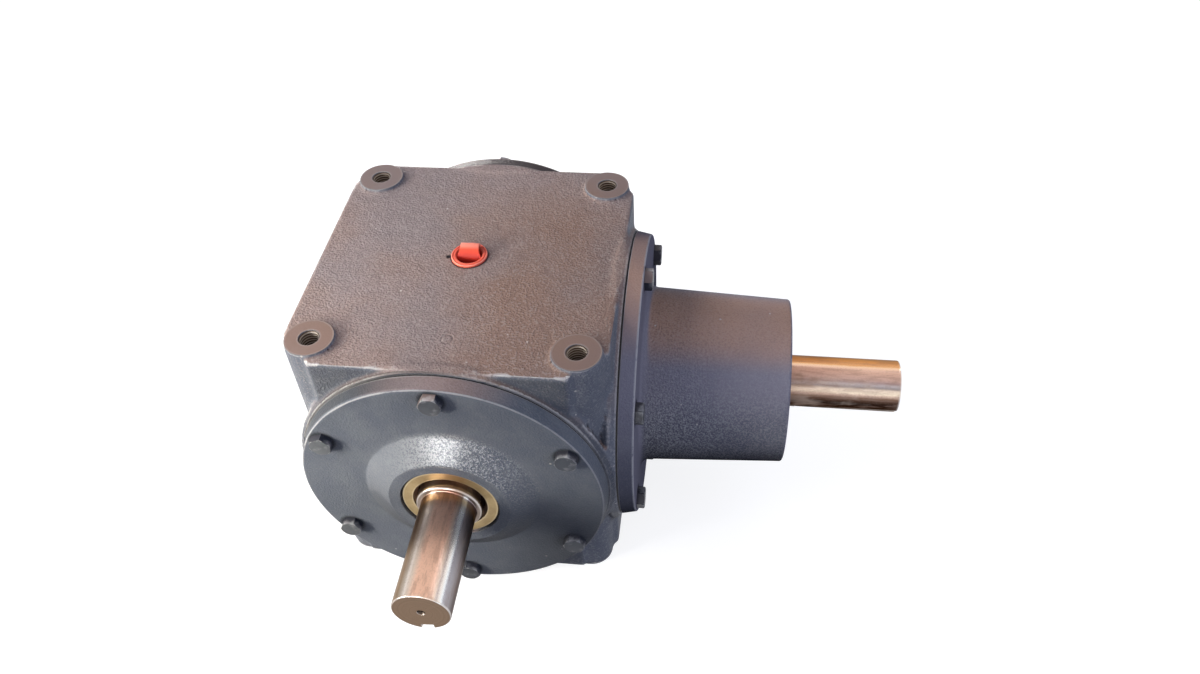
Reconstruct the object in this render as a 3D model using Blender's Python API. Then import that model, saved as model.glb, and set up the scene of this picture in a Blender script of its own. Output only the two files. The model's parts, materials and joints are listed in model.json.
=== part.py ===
import math

import bmesh
import bpy
from mathutils import Matrix, Vector

# Lengths are metres. The two shaft axes cross at the centre of the housing, and
# every axial distance is measured from that crossing unless its note says otherwise.

# Housing
HOLE_SPACING = 0.15875         # side of the mounting hole square
HOLE_EDGE = 0.018625           # mounting hole axis to the face of a wall panel
BOSS_RADIUS = 0.0147           # machined boss round a mounting hole
BOSS_HEIGHT = 0.0028           # boss face above the cast top
MOUNT_HOLE_RADIUS = 0.00536    # tapping drill of the mounting thread
MOUNT_HOLE_MOUTH = 0.00105     # chamfer at the mouth of a mounting hole
MOUNT_HOLE_DEPTH = 0.025
COLUMN_SKIN = 0.0006           # cast corner column, larger in radius than its boss
COLUMN_STEP_RUN = 0.0039       # length of the slope from a panel to a corner column
CAST_EDGE = 0.0022             # bevel along the cast top and bottom edges
WALL = 0.012                   # side wall, panel face to cavity
CEILING = 0.010                # top and bottom wall
PORT_RADIUS = 0.0093           # oil port in the top, the bottom and the blank wall
FILL_PORT_BACK = 0.0028        # oil port in the top, behind the crossing

# Round machined pads that carry the two covers and the quill
PAD_HEIGHT = 0.0029            # pad face above the wall panel
PAD_LIP = 0.0004               # pad edge outside the flange edge
PAD_DRAFT = 0.001              # growth of the pad radius from its face to its root
PAD_ROOT_DEPTH = 0.0044        # pad face to the widest part of the pad
PAD_BACK_DEPTH = 0.0084        # pad face to the back of the pad, inside the wall
PAD_BULGE = 0.0022             # how far a pad rises over the cast top
RIM_INSET = 0.001              # flange edge inside the face of the side wall

# Flanges of the covers and the quill
FLANGE_THICKNESS = 0.0099
FLANGE_DRAFT = 0.002           # fall of the flange radius from its back to its face
FLANGE_EDGE = 0.0025           # round along the outer edge
PILOT_WALL = 0.010             # screw circle to the housing bore
PILOT_DEPTH = 0.0095           # how far a pilot reaches into its bore
GASKET_THICKNESS = 0.0005
SCREW_COUNT = 6
SCREW_EDGE = 0.011             # screw circle inside the flange edge
SCREW_DIAMETER = 0.0079375
SCREW_HEAD_FLATS = 0.0127
SCREW_HEAD_HEIGHT = 0.0052
SCREW_REACH = 0.0115           # shank inside the housing
SCREW_HOLE_SPARE = 0.0016      # tapped depth past the end of the shank

# Cover bosses and quill barrel
BOSS_RISE = 0.0092             # cover boss above the flange face
BOSS_RIM = 0.0073              # flat ring of the boss round the seal
BOSS_SPREAD = 0.0165           # cover boss radius, top to foot
BOSS_CROWN_RUN = 0.002         # soft edge round the top of a cover boss
BOSS_CROWN_FALL = 0.00055
BOSS_FOOT_RUN = 0.0043         # soft foot of a cover boss
BOSS_FOOT_RISE = 0.0015
BLANK_FLOOR = 0.008            # closed end wall of the rear cover
QUILL_LENGTH = 0.0947          # barrel, flange face to the end
QUILL_WALL = 0.0175            # barrel wall round the seal at its end
QUILL_TAPER = 0.0045           # barrel radius, end to foot
QUILL_FOOT = 0.006             # round between the barrel and its flange
QUILL_EDGE = 0.002             # round at the end of the barrel

# Shafts
SHAFT_DIAMETER = 0.034925
OUTPUT_EXTENSION = 0.0722      # bare shaft past its collar
INPUT_EXTENSION = 0.0722
SHAFT_CHAMFER = 0.001
COLLAR_STEP = 0.003175         # bearing and seal seat above the bare shaft, in radius
COLLAR_PROUD = 0.0027          # collar past the face of the seal
GEAR_STEP = 0.0015875          # output gear seat above the bearing seat, in radius
INPUT_GEAR_STEP = 0.0015875    # input gear seat below the bearing seat, in radius
STOP_WIDTH = 0.008             # shoulder that the output gear seats against
STOP_HEIGHT = 0.0045
SHAFT_TAIL = 0.0028            # output shaft past its rear bearing
KEYWAY_WIDTH = 0.0079375
KEYWAY_DEPTH = 0.0044
KEYWAY_CUTTER = 0.030          # radius of the milling cutter that leaves the run-out
OUTPUT_KEYWAY_LENGTH = 0.050   # full depth, from the end of the shaft
INPUT_KEYWAY_LENGTH = 0.052
OUTPUT_KEYWAY_TURN = -84.0     # degrees round each shaft, zero level and ninety up
INPUT_KEYWAY_TURN = -143.0

# Bearings and seals
BEARING_SECTION = 0.01608      # radial height, bore to cup
BEARING_WIDTH = 0.0196
CUP_WIDTH = 0.0147
CUP_WALL = 0.0033              # cup wall at the middle of the rollers
CUP_INSET = 0.0035             # cup shoulder inside the flange face
CUP_LEDGE = 0.0035             # ledge behind each cup in the quill, in radius
ROLLER_RADIUS = 0.0035
ROLLER_COUNT = 12
ROLLER_START = 0.0042          # back of the bearing to the large ends of the rollers
ROLLER_END = 0.0018            # small ends of the rollers to the front of the bearing
ROLLER_TAPER = 0.23            # slope of the roller axes
CAGE_ANGLE = 72.0              # degrees of each roller that the cage leaves bare
RIB_WIDTH = 0.0032             # rib on the large end of a bearing cone
RIB_HEIGHT = 0.0016
SEAL_WIDTH = 0.008
SEAL_SECTION = 0.0103          # output seal, shaft to case
SEAL_RECESS = 0.0005           # seal face inside the end that holds it
SEAL_FACE_WIDTH = 0.0076       # flat steel face of a seal
SEAL_SHELL = 0.0012
SEAL_LIP_DEPTH = 0.004         # seal face to the edge of its lip
SEAL_STOP = 0.0024             # ledge behind the output seal, in radius
LOCKNUT_WIDTH = 0.009
LOCKNUT_WALL = 0.0092
LOCKNUT_SLOT = 0.005
LOCKNUT_SLOT_DEPTH = 0.003
LOCKNUT_SPARE = 0.001          # locknut to the seal
SPACER_WALL = 0.0035

# Bevel gears
TEETH = 18
GEAR_BACKING = 0.0262          # pitch circle to the back of the hub
FACE_WIDTH = 0.026
PRESSURE_ANGLE = 20.0
SPIRAL_ANGLE = 30.0
ADDENDUM = 0.9                 # in modules
DEDENDUM = 1.2
BACKLASH = 0.0003
FACE_STATIONS = 3              # tooth sections along the face
HUB_GEAR_WALL = 0.011
WEB_SETBACK = 0.003            # back of the rim to the back of the web
GEAR_KEY_WIDTH = 0.0095
GEAR_KEY_HEIGHT = 0.0088
GEAR_KEY_LENGTH = 0.028
RING_THICKNESS = 0.0015        # retaining ring of the input gear
RING_WALL = 0.0052
RING_GROOVE = 0.0015
RING_GAP_ANGLE = 40.0
RING_SPARE = 0.003             # shaft past the retaining ring

# Oil port plugs
FILL_FLANGE = 0.0022           # flange of the shipping plug outside the port
FILL_FLANGE_HEIGHT = 0.0016
FILL_DEPTH = 0.009
FILL_WALL = 0.0015
STRAP_WIDTH = 0.012
STRAP_RISE = 0.0042            # highest part of the pulling strap above the flange
STRAP_CREST = 0.0052           # that part, behind the axis of the plug
STRAP_FRONT = 0.0045           # front foot of the strap, before that axis
STRAP_THICKNESS = 0.0014
PIPE_PLUG_LENGTH = 0.0085
PIPE_PLUG_SOCKET = 0.0052      # half the key size
PIPE_PLUG_SOCKET_DEPTH = 0.005
PIPE_PLUG_INSET = 0.0006

# Clearances
SEAT_GAP = 0.00025             # between pieces that seat on each other
RUN_GAP = 0.0003               # between pieces that turn past each other
CUTTER_REACH = 0.002           # how far a cutter runs past the face it opens
WELD = 0.000002                # corners closer than this are one
FLAT = math.radians(0.2)       # faces closer in angle than this are one

# Sides of the round pieces and of the hexagons
HEX_SIDES = 6
FLANGE_SIDES = 30
SHAFT_SIDES = 18
BEARING_SIDES = 16
BOSS_SIDES = 16
SCREW_HOLE_SIDES = 6
MOUNT_HOLE_SIDES = 8
PORT_SIDES = 12
RING_SIDES = 12

# Sizes that follow
half_spacing = HOLE_SPACING / 2
housing_half = half_spacing + HOLE_EDGE
flange_radius = housing_half - RIM_INSET
pad_radius = flange_radius + PAD_LIP
pad_root_radius = pad_radius + PAD_DRAFT
cast_top = pad_root_radius - PAD_BULGE
boss_top = cast_top + BOSS_HEIGHT
column_radius = BOSS_RADIUS + COLUMN_SKIN
pad_face = housing_half + PAD_HEIGHT
screw_circle = flange_radius - SCREW_EDGE
bore_radius = screw_circle - PILOT_WALL
pilot_radius = bore_radius - SEAT_GAP
flange_back = pad_face + GASKET_THICKNESS + 2 * SEAT_GAP
flange_face = flange_back + FLANGE_THICKNESS
pilot_end = pad_face - PILOT_DEPTH

shaft_radius = SHAFT_DIAMETER / 2
seat_radius = shaft_radius + COLLAR_STEP
gear_seat = seat_radius + GEAR_STEP
input_gear_seat = seat_radius - INPUT_GEAR_STEP
cup_radius = seat_radius + BEARING_SECTION
cup_bore = cup_radius + SEAT_GAP
cup_shoulder = flange_face - CUP_INSET
bearing_back = cup_shoulder - SEAT_GAP - BEARING_WIDTH
gear_back = bearing_back - SEAT_GAP

boss_face = flange_face + BOSS_RISE
seal_radius = seat_radius + SEAL_SECTION
seal_bore = seal_radius + SEAT_GAP
seal_face = boss_face - SEAL_RECESS
seal_ledge = seal_face - SEAL_WIDTH - SEAT_GAP
boss_top_radius = seal_bore + BOSS_RIM
output_collar = seal_face + COLLAR_PROUD
output_end = output_collar + OUTPUT_EXTENSION
rear_end = bearing_back + BEARING_WIDTH + SHAFT_TAIL

quill_end = flange_face + QUILL_LENGTH
quill_seal_radius = cup_bore + SEAT_GAP
quill_seal_bore = quill_seal_radius + SEAT_GAP
quill_tip_radius = quill_seal_bore + QUILL_WALL
quill_seal_face = quill_end - SEAL_RECESS
quill_ledge = quill_seal_face - SEAL_WIDTH - SEAT_GAP
locknut_start = quill_ledge - LOCKNUT_SPARE - LOCKNUT_WIDTH
outer_back = locknut_start - SEAT_GAP
outer_shoulder = outer_back - BEARING_WIDTH - SEAT_GAP
input_collar = quill_seal_face + COLLAR_PROUD
input_end = input_collar + INPUT_EXTENSION

roller_circle = cup_radius - CUP_WALL - ROLLER_RADIUS
roller_middle = (ROLLER_START + BEARING_WIDTH - ROLLER_END) / 2

# Mitre gears: both pitch cones open at 45 degrees and meet at the crossing
PITCH_CONE = math.radians(45.0)
pitch_radius = gear_back - GEAR_BACKING
cone_distance = pitch_radius / math.sin(PITCH_CONE)
toe_distance = cone_distance - FACE_WIDTH

IRON = ((0.16, 0.165, 0.165), 0.6, 0.0)
SCREW_PAINT = ((0.15, 0.155, 0.16), 0.5, 0.0)
STEEL = ((0.62, 0.57, 0.53), 0.28, 1.0)
GEAR_STEEL = ((0.42, 0.42, 0.43), 0.35, 1.0)
BEARING_STEEL = ((0.66, 0.66, 0.67), 0.2, 1.0)
CAGE_STEEL = ((0.5, 0.48, 0.44), 0.35, 1.0)
SEAL_STEEL = ((0.55, 0.4, 0.17), 0.4, 1.0)
GASKET_PAPER = ((0.03, 0.03, 0.03), 0.8, 0.0)
RED_PLASTIC = ((0.85, 0.09, 0.04), 0.4, 0.0)


def clear_scene():
    for thing in list(bpy.data.objects):
        bpy.data.objects.remove(thing, do_unlink=True)


def reference(name, location=(0.0, 0.0, 0.0), turns=(0.0, 0.0, 0.0), parent=None):
    empty = bpy.data.objects.new(name, None)
    empty.location = location
    empty.rotation_euler = [math.radians(turn) for turn in turns]
    empty.parent = parent
    bpy.context.collection.objects.link(empty)
    return empty


def solid(name, mesh, finish, parent, location=(0.0, 0.0, 0.0)):
    colour, roughness, metallic = finish
    data = bpy.data.meshes.new(name)
    mesh.to_mesh(data)
    mesh.free()
    data.shade_smooth()
    data.set_sharp_from_angle(angle=math.radians(30.0))
    material = bpy.data.materials.new(name + "_finish")
    material.use_nodes = True
    shader = material.node_tree.nodes["Principled BSDF"]
    shader.inputs["Base Color"].default_value = (*colour, 1.0)
    shader.inputs["Roughness"].default_value = roughness
    shader.inputs["Metallic"].default_value = metallic
    data.materials.append(material)
    piece = bpy.data.objects.new(name, data)
    piece.parent = parent
    piece.location = location
    bpy.context.collection.objects.link(piece)
    return piece


def tidy(mesh):
    bmesh.ops.remove_doubles(mesh, verts=mesh.verts, dist=WELD)
    bmesh.ops.recalc_face_normals(mesh, faces=mesh.faces)
    return mesh


def around(radius, sides):
    # Corner radius of a polygon whose flats lie at the radius, for bores
    return radius / math.cos(math.pi / sides)


def revolve(profile, sides, closed=True):
    # The profile is (radius, axial distance) points, turned round the local Z axis
    mesh = bmesh.new()
    points = [mesh.verts.new((radius, 0.0, axial)) for radius, axial in profile]
    edges = [mesh.edges.new(pair) for pair in zip(points, points[1:])]
    if closed:
        edges.append(mesh.edges.new((points[-1], points[0])))
    bmesh.ops.spin(
        mesh, geom=points + edges, cent=(0, 0, 0), axis=(0, 0, 1), dvec=(0, 0, 0),
        angle=2 * math.pi, steps=sides, use_merge=True)
    return tidy(mesh)


def prism(outline, low, high):
    # The outline is (x, y) points, extruded along the local Z axis
    mesh = bmesh.new()
    face = mesh.faces.new([mesh.verts.new((x, y, low)) for x, y in outline])
    rise = bmesh.ops.extrude_face_region(mesh, geom=[face])
    top = [item for item in rise["geom"] if isinstance(item, bmesh.types.BMVert)]
    bmesh.ops.translate(mesh, vec=(0, 0, high - low), verts=top)
    return tidy(mesh)


def block(low, high):
    outline = [(low[0], low[1]), (high[0], low[1]), (high[0], high[1]), (low[0], high[1])]
    return prism(outline, low[2], high[2])


def copies(source, matrices):
    data = bpy.data.meshes.new("copies")
    source.to_mesh(data)
    source.free()
    mesh = bmesh.new()
    for matrix in matrices:
        first = len(mesh.verts)
        mesh.from_mesh(data)
        mesh.verts.ensure_lookup_table()
        bmesh.ops.transform(mesh, matrix=matrix, verts=mesh.verts[first:])
    bpy.data.meshes.remove(data)
    return mesh


def combine(base, tool, operation):
    holders = []
    for mesh in (base, tool):
        data = bpy.data.meshes.new("operand")
        mesh.to_mesh(data)
        mesh.free()
        holder = bpy.data.objects.new("operand", data)
        bpy.context.collection.objects.link(holder)
        holders.append(holder)
    modifier = holders[0].modifiers.new("combine", "BOOLEAN")
    modifier.operation = operation
    modifier.solver = "EXACT"
    modifier.object = holders[1]
    bpy.context.view_layer.update()
    graph = bpy.context.evaluated_depsgraph_get()
    result = bmesh.new()
    result.from_mesh(holders[0].evaluated_get(graph).to_mesh())
    for holder in holders:
        bpy.data.objects.remove(holder, do_unlink=True)
    bmesh.ops.remove_doubles(result, verts=result.verts, dist=WELD)
    bmesh.ops.dissolve_degenerate(result, edges=result.edges, dist=WELD)
    return result


def facing(turns):
    x, y, z = (math.radians(turn) for turn in turns)
    return Matrix.Rotation(z, 4, "Z") @ Matrix.Rotation(y, 4, "Y") @ Matrix.Rotation(x, 4, "X")


# Each direction's own frame has its Z axis outwards, and Y up on the four sides
FRONT = (90.0, 0.0, 0.0)
RIGHT = (90.0, 0.0, 90.0)
REAR = (90.0, 0.0, 180.0)
LEFT = (90.0, 0.0, -90.0)
UP = (0.0, 0.0, 0.0)
DOWN = (180.0, 0.0, 0.0)


def screw_angles():
    return [math.pi / 2 + 2 * math.pi * count / SCREW_COUNT for count in range(SCREW_COUNT)]


def screw_places(axial):
    return [
        Matrix.Translation((screw_circle * math.cos(angle), screw_circle * math.sin(angle), axial))
        for angle in screw_angles()]


def screw_holes(low, high):
    radius = around(SCREW_DIAMETER / 2 + SEAT_GAP, SCREW_HOLE_SIDES)
    hole = revolve([(0, low), (radius, low), (radius, high), (0, high)], SCREW_HOLE_SIDES, closed=False)
    return copies(hole, screw_places(0.0))


def arc(centre, radius, start, end, steps):
    angles = [math.radians(start + (end - start) * step / steps) for step in range(steps + 1)]
    return [(centre[0] + radius * math.cos(angle), centre[1] + radius * math.sin(angle)) for angle in angles]


def housing_outline():
    # A square of flat panels, each stepped back to a round column at its corners
    outline = []
    for quarter in range(4):
        corner = [(housing_half, half_spacing - COLUMN_STEP_RUN)]
        corner += arc((half_spacing, half_spacing), column_radius, 0.0, 90.0, 3)
        corner += [(half_spacing - COLUMN_STEP_RUN, housing_half)]
        turn = Matrix.Rotation(quarter * math.pi / 2, 2)
        outline += [tuple(turn @ Vector(point)) for point in corner]
    return outline


def cavity_outline():
    # Corners are cut off so that the columns keep their metal round the mounting holes
    half = housing_half - WALL
    short = 2 * half_spacing - column_radius * math.sqrt(2) - half
    outline = []
    for quarter in range(4):
        turn = Matrix.Rotation(quarter * math.pi / 2, 2)
        outline += [tuple(turn @ Vector(point)) for point in ((half, short), (short, half))]
    return outline


def mounting_corners():
    signs = [(1, 1), (-1, 1), (-1, -1), (1, -1)]
    return [Matrix.Translation((x * half_spacing, y * half_spacing, 0)) for x, y in signs]


def both_ends(matrices):
    flip = Matrix.Rotation(math.pi, 4, "X")
    return matrices + [flip @ matrix for matrix in matrices]


def make_housing(parent):
    body = prism(housing_outline(), -cast_top, cast_top)
    edges = [edge for edge in body.edges if len({round(vert.co.z, 6) for vert in edge.verts}) == 1]
    bmesh.ops.bevel(
        body, geom=edges, offset=CAST_EDGE, offset_type="OFFSET", segments=1, profile=0.5,
        affect="EDGES", clamp_overlap=True, material=-1)
    boss = revolve([
        (0, cast_top - MOUNT_HOLE_DEPTH), (BOSS_RADIUS, cast_top - MOUNT_HOLE_DEPTH),
        (BOSS_RADIUS, boss_top), (0, boss_top)], BOSS_SIDES, closed=False)
    body = combine(body, copies(boss, both_ends(mounting_corners())), "UNION")
    for turns in (FRONT, RIGHT, REAR):
        pad = revolve([
            (0, pad_face - PAD_BACK_DEPTH),
            (pad_root_radius - (PAD_BACK_DEPTH - PAD_ROOT_DEPTH), pad_face - PAD_BACK_DEPTH),
            (pad_root_radius, pad_face - PAD_ROOT_DEPTH), (pad_radius, pad_face), (0, pad_face)],
            FLANGE_SIDES, closed=False)
        body = combine(body, copies(pad, [facing(turns)]), "UNION")

    cavity = prism(cavity_outline(), CEILING - cast_top, cast_top - CEILING)
    body = combine(body, cavity, "DIFFERENCE")
    bore = around(bore_radius, FLANGE_SIDES)
    mouth = pad_face + CUTTER_REACH
    inside = housing_half - WALL - CUTTER_REACH
    for turns in (FRONT, RIGHT, REAR):
        opening = [(0, inside), (bore, inside), (bore, mouth), (0, mouth)]
        opening = revolve(opening, FLANGE_SIDES, closed=False)
        body = combine(body, copies(opening, [facing(turns)]), "DIFFERENCE")
        holes = screw_holes(pad_face - SCREW_REACH - SCREW_HOLE_SPARE, mouth)
        body = combine(body, copies(holes, [facing(turns)]), "DIFFERENCE")

    floor = boss_top - MOUNT_HOLE_DEPTH
    wide = MOUNT_HOLE_RADIUS + MOUNT_HOLE_MOUTH + CUTTER_REACH
    tapped = revolve([
        (0, floor), (MOUNT_HOLE_RADIUS, floor), (MOUNT_HOLE_RADIUS, boss_top - MOUNT_HOLE_MOUTH),
        (wide, boss_top + CUTTER_REACH), (0, boss_top + CUTTER_REACH)], MOUNT_HOLE_SIDES, closed=False)
    body = combine(body, copies(tapped, both_ends(mounting_corners())), "DIFFERENCE")
    for turns, face, back in ((UP, cast_top, FILL_PORT_BACK), (DOWN, cast_top, 0.0), (LEFT, housing_half, 0.0)):
        low = face - max(WALL, CEILING) - CUTTER_REACH
        radius = around(PORT_RADIUS, PORT_SIDES)
        port = revolve([
            (0, low), (radius, low), (radius, face + CUTTER_REACH), (0, face + CUTTER_REACH)],
            PORT_SIDES, closed=False)
        body = combine(body, copies(port, [Matrix.Translation((0, back, 0)) @ facing(turns)]), "DIFFERENCE")
    bmesh.ops.dissolve_limit(body, angle_limit=FLAT, verts=body.verts, edges=body.edges)
    solid("housing", body, IRON, parent)


def flange_profile():
    # From the flat face over the rounded edge to the inner end of the pilot
    edge = flange_radius - FLANGE_DRAFT - FLANGE_EDGE
    return arc((edge, flange_face - FLANGE_EDGE), FLANGE_EDGE, 90.0, 0.0, 1) + [
        (flange_radius, flange_back), (pilot_radius, flange_back), (pilot_radius, pilot_end),
        (around(cup_bore, FLANGE_SIDES), pilot_end), (around(cup_bore, FLANGE_SIDES), cup_shoulder)]


def boss_profile():
    # Soft cone of a cover, from its flat top down to the flange face
    foot = boss_top_radius + BOSS_SPREAD
    return [
        (boss_top_radius, boss_face),
        (boss_top_radius + BOSS_CROWN_RUN, boss_face - BOSS_CROWN_FALL),
        (foot - BOSS_FOOT_RUN, flange_face + BOSS_FOOT_RISE),
        (foot, flange_face)]


def drilled(mesh):
    return combine(mesh, screw_holes(flange_back - CUTTER_REACH, flange_face + CUTTER_REACH), "DIFFERENCE")


def make_front_cover(parent):
    bore = around(seal_bore, FLANGE_SIDES)
    ledge = around(seal_bore - SEAL_STOP, FLANGE_SIDES)
    profile = [(bore, boss_face)] + boss_profile() + flange_profile() + [
        (ledge, cup_shoulder), (ledge, seal_ledge), (bore, seal_ledge)]
    solid("front_cover", drilled(revolve(profile, FLANGE_SIDES)), IRON, parent)


def make_rear_cover(parent):
    ledge = around(seal_bore - SEAL_STOP, FLANGE_SIDES)
    floor = boss_face - BLANK_FLOOR
    profile = [(0, boss_face)] + boss_profile() + flange_profile() + [
        (ledge, cup_shoulder), (ledge, floor), (0, floor)]
    solid("rear_cover", drilled(revolve(profile, FLANGE_SIDES, closed=False)), IRON, parent)


def make_quill(parent):
    cup = around(cup_bore, FLANGE_SIDES)
    seal = around(quill_seal_bore, FLANGE_SIDES)
    barrel = around(cup_bore - CUP_LEDGE, FLANGE_SIDES)
    foot = quill_tip_radius + QUILL_TAPER
    edge = (quill_tip_radius - QUILL_EDGE, quill_end - QUILL_EDGE)
    profile = [(seal, quill_end)] + arc(edge, QUILL_EDGE, 90.0, 0.0, 1)
    profile += arc((foot + QUILL_FOOT, flange_face + QUILL_FOOT), QUILL_FOOT, 180.0, 270.0, 1)
    profile += flange_profile()
    profile += [
        (barrel, cup_shoulder), (barrel, outer_shoulder), (cup, outer_shoulder),
        (cup, quill_ledge), (seal, quill_ledge)]
    solid("quill", drilled(revolve(profile, FLANGE_SIDES)), IRON, parent)


def make_gasket(name, parent):
    low = pad_face + SEAT_GAP
    high = low + GASKET_THICKNESS
    inner = around(bore_radius, FLANGE_SIDES)
    ring = revolve([(inner, low), (inner, high), (flange_radius, high), (flange_radius, low)], FLANGE_SIDES)
    ring = combine(ring, screw_holes(low - CUTTER_REACH, high + CUTTER_REACH), "DIFFERENCE")
    solid(name, ring, GASKET_PAPER, parent)


def make_screws(name, parent):
    # A hexagon head, its underside drawn in to the shank
    corner = SCREW_HEAD_FLATS / math.sqrt(3)
    start = pad_face - SCREW_REACH
    seat = flange_face + SEAT_GAP
    for count, angle in enumerate(screw_angles(), 1):
        place = (screw_circle * math.cos(angle), screw_circle * math.sin(angle), 0)
        mesh = revolve([
            (0, start), (SCREW_DIAMETER / 2, start), (SCREW_DIAMETER / 2, seat), (corner, seat),
            (corner, seat + SCREW_HEAD_HEIGHT), (0, seat + SCREW_HEAD_HEIGHT)], HEX_SIDES, closed=False)
        clocking = Matrix.Rotation(angle * count, 3, "Z")
        bmesh.ops.rotate(mesh, verts=mesh.verts, cent=(0, 0, 0), matrix=clocking)
        bmesh.ops.dissolve_limit(mesh, angle_limit=FLAT, verts=mesh.verts, edges=mesh.edges)
        solid(f"{name}_screw_{count}", mesh, SCREW_PAINT, parent, place)


def keyway_cutter(length, end, turn):
    # Full depth from the end of the shaft, then the round run-out of the cutter
    floor = shaft_radius - KEYWAY_DEPTH
    centre = (end - length, floor + KEYWAY_CUTTER)
    rise = math.degrees(math.acos(1 - (KEYWAY_DEPTH + CUTTER_REACH) / KEYWAY_CUTTER))
    outline = [(end + CUTTER_REACH, floor)] + arc(centre, KEYWAY_CUTTER, 270.0, 270.0 - rise, 3)
    outline += [(end + CUTTER_REACH, shaft_radius + CUTTER_REACH)]
    cutter = prism(outline, -KEYWAY_WIDTH / 2, KEYWAY_WIDTH / 2)
    lie = Matrix(((0, 1, 0, 0), (0, 0, 1, 0), (1, 0, 0, 0), (0, 0, 0, 1)))
    return copies(cutter, [Matrix.Rotation(math.radians(turn), 4, "Z") @ lie])


def gear_key_span():
    middle = (gear_front + gear_back) / 2
    return middle - GEAR_KEY_LENGTH / 2, middle + GEAR_KEY_LENGTH / 2


def gear_key_block(seat, spare, low, high):
    # The key lies half in the shaft and half in the gear
    half = GEAR_KEY_WIDTH / 2 + spare
    tall = GEAR_KEY_HEIGHT / 2 + spare
    return block((-half, seat - tall, low - spare), (half, seat + tall, high + spare))


def shaft_end(collar, end):
    return [
        (seat_radius, collar - SHAFT_CHAMFER), (seat_radius - SHAFT_CHAMFER, collar), (shaft_radius, collar),
        (shaft_radius, end - SHAFT_CHAMFER), (shaft_radius - SHAFT_CHAMFER, end), (0, end)]


def make_output_shaft(parent):
    stop = gear_front - SEAT_GAP
    profile = [
        (0, -rear_end), (seat_radius - SHAFT_CHAMFER, -rear_end), (seat_radius, SHAFT_CHAMFER - rear_end),
        (seat_radius, -gear_back), (gear_seat, -gear_back), (gear_seat, stop - STOP_WIDTH),
        (gear_seat + STOP_HEIGHT, stop - STOP_WIDTH), (gear_seat + STOP_HEIGHT, stop), (gear_seat, stop),
        (gear_seat, gear_back), (seat_radius, gear_back)] + shaft_end(output_collar, output_end)
    mesh = revolve(profile, SHAFT_SIDES, closed=False)
    cutter = keyway_cutter(OUTPUT_KEYWAY_LENGTH, output_end, OUTPUT_KEYWAY_TURN)
    mesh = combine(mesh, cutter, "DIFFERENCE")
    mesh = combine(mesh, gear_key_block(gear_seat, SEAT_GAP, *gear_key_span()), "DIFFERENCE")
    solid("output_shaft", mesh, STEEL, parent)


def make_input_shaft(parent):
    groove = gear_front - RING_THICKNESS - 2 * SEAT_GAP
    start = groove - RING_SPARE
    profile = [
        (0, start), (input_gear_seat - SHAFT_CHAMFER, start), (input_gear_seat, start + SHAFT_CHAMFER),
        (input_gear_seat, groove), (input_gear_seat - RING_GROOVE, groove),
        (input_gear_seat - RING_GROOVE, gear_front), (input_gear_seat, gear_front),
        (input_gear_seat, gear_back), (seat_radius, gear_back)] + shaft_end(input_collar, input_end)
    mesh = revolve(profile, SHAFT_SIDES, closed=False)
    cutter = keyway_cutter(INPUT_KEYWAY_LENGTH, input_end, INPUT_KEYWAY_TURN)
    mesh = combine(mesh, cutter, "DIFFERENCE")
    mesh = combine(mesh, gear_key_block(input_gear_seat, SEAT_GAP, *gear_key_span()), "DIFFERENCE")
    solid("input_shaft", mesh, STEEL, parent)


def tooth_point(distance, height, side):
    # A flank point at a cone distance: height is in modules above the pitch cone.
    # The tooth is drawn on the back cone as a spur gear of the same pitch.
    module = 2 * distance * math.sin(PITCH_CONE) / TEETH
    pitch = distance * math.tan(PITCH_CONE)
    base = pitch * math.cos(math.radians(PRESSURE_ANGLE))
    radius = pitch + height * module
    pressure = math.acos(min(1.0, base / radius))
    at_pitch = math.radians(PRESSURE_ANGLE)
    half = (math.pi * module / 2 - BACKLASH) / (2 * pitch)
    half += math.tan(at_pitch) - at_pitch - math.tan(pressure) + pressure
    angle = side * half / math.cos(PITCH_CONE)
    axial = distance / math.cos(PITCH_CONE) - radius * math.sin(PITCH_CONE)
    return radius * math.cos(PITCH_CONE), axial, angle


def spiral_lead(distance):
    middle = (cone_distance + toe_distance) / 2
    return math.tan(math.radians(SPIRAL_ANGLE)) * math.log(distance / middle) / math.sin(PITCH_CONE)


gear_front = tooth_point(toe_distance, -DEDENDUM, 1)[1]


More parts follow.
